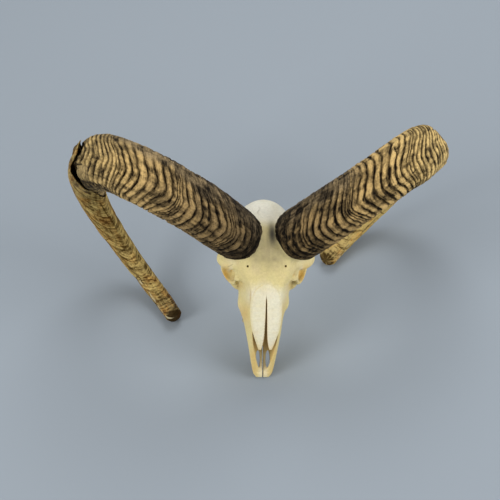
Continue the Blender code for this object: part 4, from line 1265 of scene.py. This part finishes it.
def nose_bones(finish, material):
    """The nose bones: an arched strip with rounded edges, carried along the face. The upper line is
    top - fall (x / half width)^2, and the lower one lies a thickness under it. The left bone's inner
    edge is torn in small steps towards its tip."""
    rows = sorted(NOSE_BONE)
    place = np.linspace(rows[0][0], rows[-1][0] + OVERLAP, NOSE_BONE_ROWS)
    inner, outer, top, fall = (eased(table, place)[:, None]
                               for table in (*value_tables(rows, 1, 2, 3), NOSE_BONE_FALL))
    point = np.clip((place - rows[0][0]) / 2.5, 0, 1)**0.5
    share = (1 - np.cos(np.linspace(0, math.pi, NOSE_BONE_COLUMNS))) / 2
    full = np.sqrt(np.clip(1 - (2 * share - 1)**6, 0, 1)) * point[:, None]
    tear = smooth(-68, -80, place) * smooth(-112, -104, place)
    steps = 0.45 * np.sin(place * 2.9) + 0.3 * np.sin(place * 4.7 + 1)
    for side, name in SIDES:
        start = inner + (tear * (0.2 + steps) * (1.2 if side < 0 else 0.3))[:, None]
        across = start + (outer + OVERLAP - start) * share
        height = top - fall * (across / NOSE_HALF_WIDTH)**2
        upper = height - EDGE_DROP * (1 - full)
        lower = height - EDGE_DROP - (NOSE_BONE_THICK - EDGE_DROP) * full
        sheets = [np.stack([across * side, np.broadcast_to(place[:, None], across.shape), z], -1)
                  for z in (upper, lower)]
        ring = np.concatenate([sheets[0], sheets[1][:, -2:0:-1]], 1)
        rise = 0.25 * unevenness(ring, 9, 32) + 0.12 * unevenness(ring, (6, 1.6, 6), 41)
        ring = ring + rise[..., None] * [0, 0, 1]
        under = np.concatenate([0 * upper, 1 + 0 * lower[:, -2:0:-1]], 1)
        piece = tube(f"nose_bone_{name}_shell", ring, nose_bone_marks(ring, under, outer, start, side))
        piece.data.materials.append(material)
        finish(piece, f"nose_bone_{name}", "pale_bone")


def tooth_rings(length, width, height, layers=14, columns=40):
    """A cheek tooth: a rounded square, sign(sin) |sin|^0.5 by sign(cos) |cos|^0.5, with a waist between
    its two lobes. It narrows a little towards the root, and its chewing end rises in two ridges."""
    turn = np.linspace(0, 2 * math.pi, columns, endpoint=False)
    outline = np.stack([np.sign(s) * np.abs(s)**0.5 * size / 2
                        for s, size in ((np.sin(turn), width), (np.cos(turn), length))], -1)
    outline[:, 0] *= 1 - 0.16 * np.exp(-(outline[:, 1] / (length * 0.13))**2)
    rings = [np.column_stack([outline * (1 - 0.1 * share), np.full(columns, height * share)])
             for share in np.linspace(0, 1, layers)]
    crown = []
    for shrink in (0.93, 0.7, 0.45, 0.2):
        flat = outline * shrink
        rise = 1.1 * np.cos(flat[:, 1] / length * 4 * math.pi) * math.cos(shrink * 5) - 0.9
        crown.append(np.column_stack([flat, rise]))
    return np.array(crown[::-1] + rings)


def teeth(material):
    """Both rows of cheek teeth, each tooth set in its place along the row."""
    total = sum(TOOTH_LENGTHS)
    for side, name in SIDES:
        points, sides, ends, count = [], [], [], 0
        place = TOOTH_FRONT
        for length in TOOTH_LENGTHS:
            middle = place + length / 2
            share = (middle - TOOTH_FRONT) / total
            across = ROW_FRONT["across"] + (ROW_BACK["across"] - ROW_FRONT["across"]) * share**0.7
            crown = ROW_FRONT["crown"] + (ROW_BACK["crown"] - ROW_FRONT["crown"]) * share
            rings = tooth_rings(length - TOOTH_GAP, TOOTH_WIDTH, TOOTH_HEIGHT)
            rings = rings * [side, 1, 1] + [across * side, middle, crown + CHEWING_RISE]
            rows, columns = rings.shape[:2]
            first = np.arange(columns)[None] + count
            for kept, faces in ((sides, tube_faces(rows, columns, count)), (ends, first[:, ::-1]),
                                (ends, first + (rows - 1) * columns)):
                kept.append(faces[:, ::-1] if side < 0 else faces)
            points.append(rings.reshape(-1, 3))
            count += rows * columns
            place += length
        row = skin(f"cheek_teeth_{name}", laid(np.concatenate(points)), sides + ends)
        row.data.materials.append(material)
        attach(row, "root")


# ---------------------------------------------------------------------------------------- the materials
def linear(colour):
    """An 8-bit colour as the shader's linear values."""
    parts = [value / 255 for value in colour]
    return (*(p / 12.92 if p <= 0.04045 else ((p + 0.055) / 1.055)**2.4 for p in parts), 1)


class Finish:
    """A material's node tree, with short calls for the few nodes that the finishes are made of."""

    def __init__(self, name, roughness, gloss=0.22):
        self.material = bpy.data.materials.new(name)
        self.material.use_nodes = True
        self.tree = self.material.node_tree
        self.shader = self.tree.nodes["Principled BSDF"]
        self.shader.inputs["Roughness"].default_value = roughness
        self.shader.inputs["Specular IOR Level"].default_value = gloss
        self.place = self.tree.nodes.new("ShaderNodeTexCoord").outputs["Object"]

    def node(self, kind, **settings):
        """A new node with its settings."""
        made = self.tree.nodes.new(kind)
        for key, value in settings.items():
            setattr(made, key, value)
        return made

    def link(self, value, socket):
        """Puts a number or a colour on a socket, or links another node's output to it."""
        if isinstance(value, (int, float, tuple)):
            socket.default_value = value
        else:
            self.tree.links.new(value, socket)

    def mark(self, name, vector=False):
        """A number, or a triple, that the mesh holds at each of its points."""
        return self.node("ShaderNodeAttribute", attribute_name=name).outputs["Vector" if vector else "Fac"]

    def noise(self, scale, detail=3.0, place=None, roughness=0.55):
        """Cloudy noise: scale is how many lumps there are in a metre."""
        made = self.node("ShaderNodeTexNoise")
        self.link(place or self.place, made.inputs["Vector"])
        self.link(scale, made.inputs["Scale"])
        self.link(detail, made.inputs["Detail"])
        self.link(roughness, made.inputs["Roughness"])
        return made.outputs["Fac"]

    def stretched(self, place, scale):
        """A place multiplied by a scale of its own in each direction."""
        made = self.node("ShaderNodeMapping")
        self.link(place, made.inputs["Vector"])
        self.link(scale, made.inputs["Scale"])
        return made.outputs["Vector"]

    def sums(self, operation, a, b, clamp=False):
        """Two values added, multiplied or raised to a power."""
        made = self.node("ShaderNodeMath", operation=operation, use_clamp=clamp)
        self.link(a, made.inputs[0])
        self.link(b, made.inputs[1])
        return made.outputs[0]

    def range(self, value, low, high, to_low=0.0, to_high=1.0):
        """A value between low and high, stretched to lie between two other numbers."""
        made = self.node("ShaderNodeMapRange")
        for socket, number in zip(("Value", "From Min", "From Max", "To Min", "To Max"),
                                  (value, low, high, to_low, to_high)):
            self.link(number, made.inputs[socket])
        return made.outputs[0]

    def ramp(self, value, stops):
        """A colour ramp through (place, 8-bit colour) stops."""
        made = self.node("ShaderNodeValToRGB")
        self.link(value, made.inputs["Fac"])
        elements = made.color_ramp.elements
        for element, (place, colour) in zip(elements, (stops[0], stops[-1])):
            element.position, element.color = place, linear(colour)
        for place, colour in stops[1:-1]:
            elements.new(place).color = linear(colour)
        return made.outputs["Color"]

    def mix(self, share, a, b, blend="MIX"):
        """Colour a with a share of colour b."""
        made = self.node("ShaderNodeMix", data_type="RGBA", blend_type=blend)
        self.link(share, made.inputs[0])
        self.link(a, made.inputs[6])
        self.link(b, made.inputs[7])
        return made.outputs[2]

    def stained(self, colour, mark, strength, stain):
        """A colour with a stain over it, as strong as the mark says times the strength."""
        return self.mix(self.sums("MULTIPLY", mark, strength), colour, stain)

    def bump(self, height, strength, reach, under=None):
        """A bumpy normal, laid over another one where there is one."""
        made = self.node("ShaderNodeBump")
        self.link(strength, made.inputs["Strength"])
        self.link(reach, made.inputs["Distance"])
        self.link(height, made.inputs["Height"])
        if under is not None:
            self.link(under, made.inputs["Normal"])
        return made.outputs["Normal"]

    def done(self, colour, normal, roughness=None):
        """Gives the shader its colour, normal and, where it varies, roughness."""
        self.link(colour, self.shader.inputs["Base Color"])
        self.link(normal, self.shader.inputs["Normal"])
        if roughness is not None:
            self.link(roughness, self.shader.inputs["Roughness"])
        return self.material


def bone_finish(name):
    """Dry bone: yellowish, paler on the dome and nose, ochre in the eye sockets, greyer on the brow,
    brown in the sutures, with painted shade in the hollows and inside the nose and the painted shadow
    of the right horn's rim, and with clouds, stains, specks and pores."""
    made = Finish(name, BONE_ROUGHNESS)
    cloud, fine = made.noise(60, 4), made.noise(500, 3)
    paler = made.sums("ADD", made.mark("pale"), made.range(cloud, 0.3, 0.7, -0.16, 0.16), True)
    warmer = made.sums("ADD", made.mark("ochre"), made.range(cloud, 0.4, 0.75, 0, 0.18), True)
    colour = made.mix(paler, linear(BONE_WARM), linear(BONE_PALE))
    colour = made.mix(warmer, colour, linear(BONE_OCHRE))
    for mark, strength, stain in (("chalk", 0.8, BONE_CHALK), ("grey", 0.85, BONE_GREY)):
        colour = made.stained(colour, made.mark(mark), strength, linear(stain))
    stains = made.range(made.noise(150, 5, roughness=0.7), 0.6, 0.8, 0, 0.3)
    colour = made.mix(stains, colour, linear(BONE_STAIN))
    # hollow, nose and shade paint shade into the colour: hollows, inside the nose, the right horn's
    # shadow; suture is the bone's own dark seam.
    for mark, strength, stain in (("hollow", 0.75, HOLLOW_SHADE), ("suture", 0.14, BONE_SUTURE),
                                  ("nose", 0.85, NOSE_CAVITY_SHADE), ("shade", 0.92, CROWN_SHADE)):
        colour = made.stained(colour, made.mark(mark), strength, linear(stain))
    mottle = made.range(made.noise(330, 4, roughness=0.65), 0.35, 0.65, 0.93, 1.06)
    tint = made.node("ShaderNodeCombineColor")
    for part in ("Red", "Green", "Blue"):
        made.link(mottle, tint.inputs[part])
    colour = made.mix(1.0, colour, tint.outputs[0], "MULTIPLY")
    specks = made.range(made.noise(1100, 2), 0.68, 0.8, 0, 0.35)
    colour = made.mix(specks, colour, linear(BONE_SPECK))
    normal = made.bump(fine, 0.3, 0.0006)
    normal = made.bump(cloud, 0.25, 0.002, normal)
    return made.done(colour, normal)


def horn_finish(name, dark, light, roughness):
    """Horn: a ramp of dark colours and one of light ones, from the rim to the older end, mixed by the
    light mark, which holds the painted shade of the grooves and the painted highlight of the ridges, with
    fibres that run along the rings. Over that lie dull grey, rust, chips and a rosy grit."""
    made = Finish(name, roughness, HORN_GLOSS)
    flow, ripe = made.mark("flow", True), made.mark("ripe")
    threads = made.noise(1, 4, made.stretched(flow, (90, 90, 900)), 0.6)
    grain = made.noise(1, 3, made.stretched(flow, (260, 260, 420)), 0.6)
    patches = made.noise(1, 4, made.stretched(flow, (50, 50, 80)), 0.6)
    grit = made.noise(460, 4, roughness=0.7)
    # height is no real height: it is the light mark, with its painted shade and painted highlight, made
    # uneven by fibres, patches and grit.
    height = made.sums("ADD", made.mark("light"), made.range(threads, 0.3, 0.7, -0.24, 0.24))
    height = made.sums("ADD", height, made.range(grain, 0.3, 0.7, -0.2, 0.2))
    height = made.sums("MULTIPLY", height, made.range(patches, 0.3, 0.7, 0.66, 1.24))
    height = made.sums("MULTIPLY", height, made.range(grit, 0.32, 0.68, 0.62, 1.34), True)
    height = made.sums("POWER", height, 1.2)
    colour = made.mix(height, made.ramp(ripe, dark), made.ramp(ripe, light))
    for mark, strength, (low, high) in (("grey", 0.7, DULL_HORN), ("rust", 0.55, RUSTY_HORN)):
        stain = made.mix(height, linear(low), linear(high))
        colour = made.stained(colour, made.mark(mark), strength, stain)
    colour = made.mix(made.mark("chips"), colour, linear(CHIPPED_HORN))
    rosy = made.range(made.noise(620, 3, roughness=0.7), 0.5, 0.72, 0, 0.4)
    colour = made.stained(colour, rosy, height, linear(ROSY_HORN))
    normal = made.bump(threads, 0.55, 0.0012)
    normal = made.bump(grain, 0.5, 0.0008, normal)
    normal = made.bump(grit, 0.4, 0.0006, normal)
    return made.done(colour, normal, made.range(patches, 0.3, 0.7, roughness - 0.06, roughness + 0.08))


def tooth_finish(name):
    """Tooth enamel: ivory, with brown lines drawn out along the tooth."""
    made = Finish(name, TOOTH_ROUGHNESS)
    line = made.noise(1, 4, made.stretched(made.place, (400, 400, 120)))
    colour = made.mix(made.range(line, 0.35, 0.65), linear(TOOTH_IVORY), linear(TOOTH_BROWN))
    return made.done(colour, made.bump(line, 0.3, 0.0005))


# -------------------------------------------------------------------------------------------- the stage
def floor():
    """A wide pale floor that the camera never sees the end of."""
    half = FLOOR_HALF
    points = [(-half, -half, 0), (half, -half, 0), (half, half, 0), (-half, half, 0)]
    made = skin("floor", points, (np.array([[0, 1, 2, 3]]),))
    surface = Finish("pale_floor", FLOOR_ROUGHNESS, 0.0)
    surface.shader.inputs["Base Color"].default_value = linear(FLOOR_COLOUR)
    made.data.materials.append(surface.material)


def lamp(name, place, size, power, colour):
    """A round lamp that is turned towards the middle of the skull."""
    light = bpy.data.lights.new(name, "AREA")
    light.shape = "DISK"
    light.size = size
    light.energy = power
    light.color = colour
    made = bpy.data.objects.new(name, light)
    bpy.context.scene.collection.objects.link(made)
    made.location = place
    made.rotation_euler = (Vector(LAMP_AIM) - Vector(place)).to_track_quat("-Z", "Y").to_euler()


def lights():
    """Two soft lamps in front, a weaker one behind, and an even grey sky."""
    for settings in LAMPS:
        lamp(*settings)
    world = bpy.data.worlds.new("studio")
    world.use_nodes = True
    background = world.node_tree.nodes["Background"]
    background.inputs["Color"].default_value = SKY_COLOUR
    background.inputs["Strength"].default_value = SKY_STRENGTH
    bpy.context.scene.world = world
    bpy.context.scene.view_settings.view_transform = "Standard"


def camera():
    """Looks straight down on the brow, turned by the yaw, from the reach: the lens follows from both."""
    yaw = math.radians(CAMERA_YAW)
    right = np.array([math.cos(yaw), 0, math.sin(yaw)])
    up = np.array([0.0, 1.0, 0.0])
    ahead = np.array([math.sin(yaw), 0, -math.cos(yaw)])
    aim = right * VIEW_MIDDLE[0] * PIXEL + up * VIEW_MIDDLE[1] * PIXEL
    lens = bpy.data.cameras.new("camera")
    lens.sensor_width = SENSOR
    lens.lens = SENSOR * CAMERA_REACH / (PIXEL * FRAME_PIXELS)
    made = bpy.data.objects.new("camera", lens)
    bpy.context.scene.collection.objects.link(made)
    axes = REST_TURN @ np.stack([right, up, -ahead], 1)
    turn = Matrix([list(row) for row in axes]).to_4x4()
    made.matrix_world = Matrix.Translation(Vector(laid(aim - ahead * CAMERA_REACH))) @ turn
    bpy.context.scene.camera = made


# ------------------------------------------------------------------------------------------ the building
def build():
    """Makes every piece, hangs it from the root body, hides the solid that it stands for, and gives it its
    finish.
    """
    bone = bone_finish("dry_bone")
    pale = bone_finish("pale_bone")
    tooth = tooth_finish("tooth_enamel")
    ridged = horn_finish("ridged_horn", HORN_DARK, HORN_LIGHT, RIDGED_ROUGHNESS)
    older = horn_finish("older_horn", OLD_HORN_DARK, OLD_HORN_LIGHT, OLD_ROUGHNESS)

    def finish(piece, node, slot):
        if not piece.data.materials:
            piece.data.materials.append(bone)
        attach(piece, "root")
        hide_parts(node)

    for horn, node in ((LEFT_HORN, "horn_left"), (RIGHT_HORN, "horn_right")):
        for piece, material in ((young_sheath(horn, node), ridged), (old_sheath(horn, node), older)):
            piece.data.materials.append(material)
            finish(piece, node, "horn")
    bones(finish)
    nose_bones(finish, pale)
    teeth(tooth)


build()
floor()
lights()
camera()
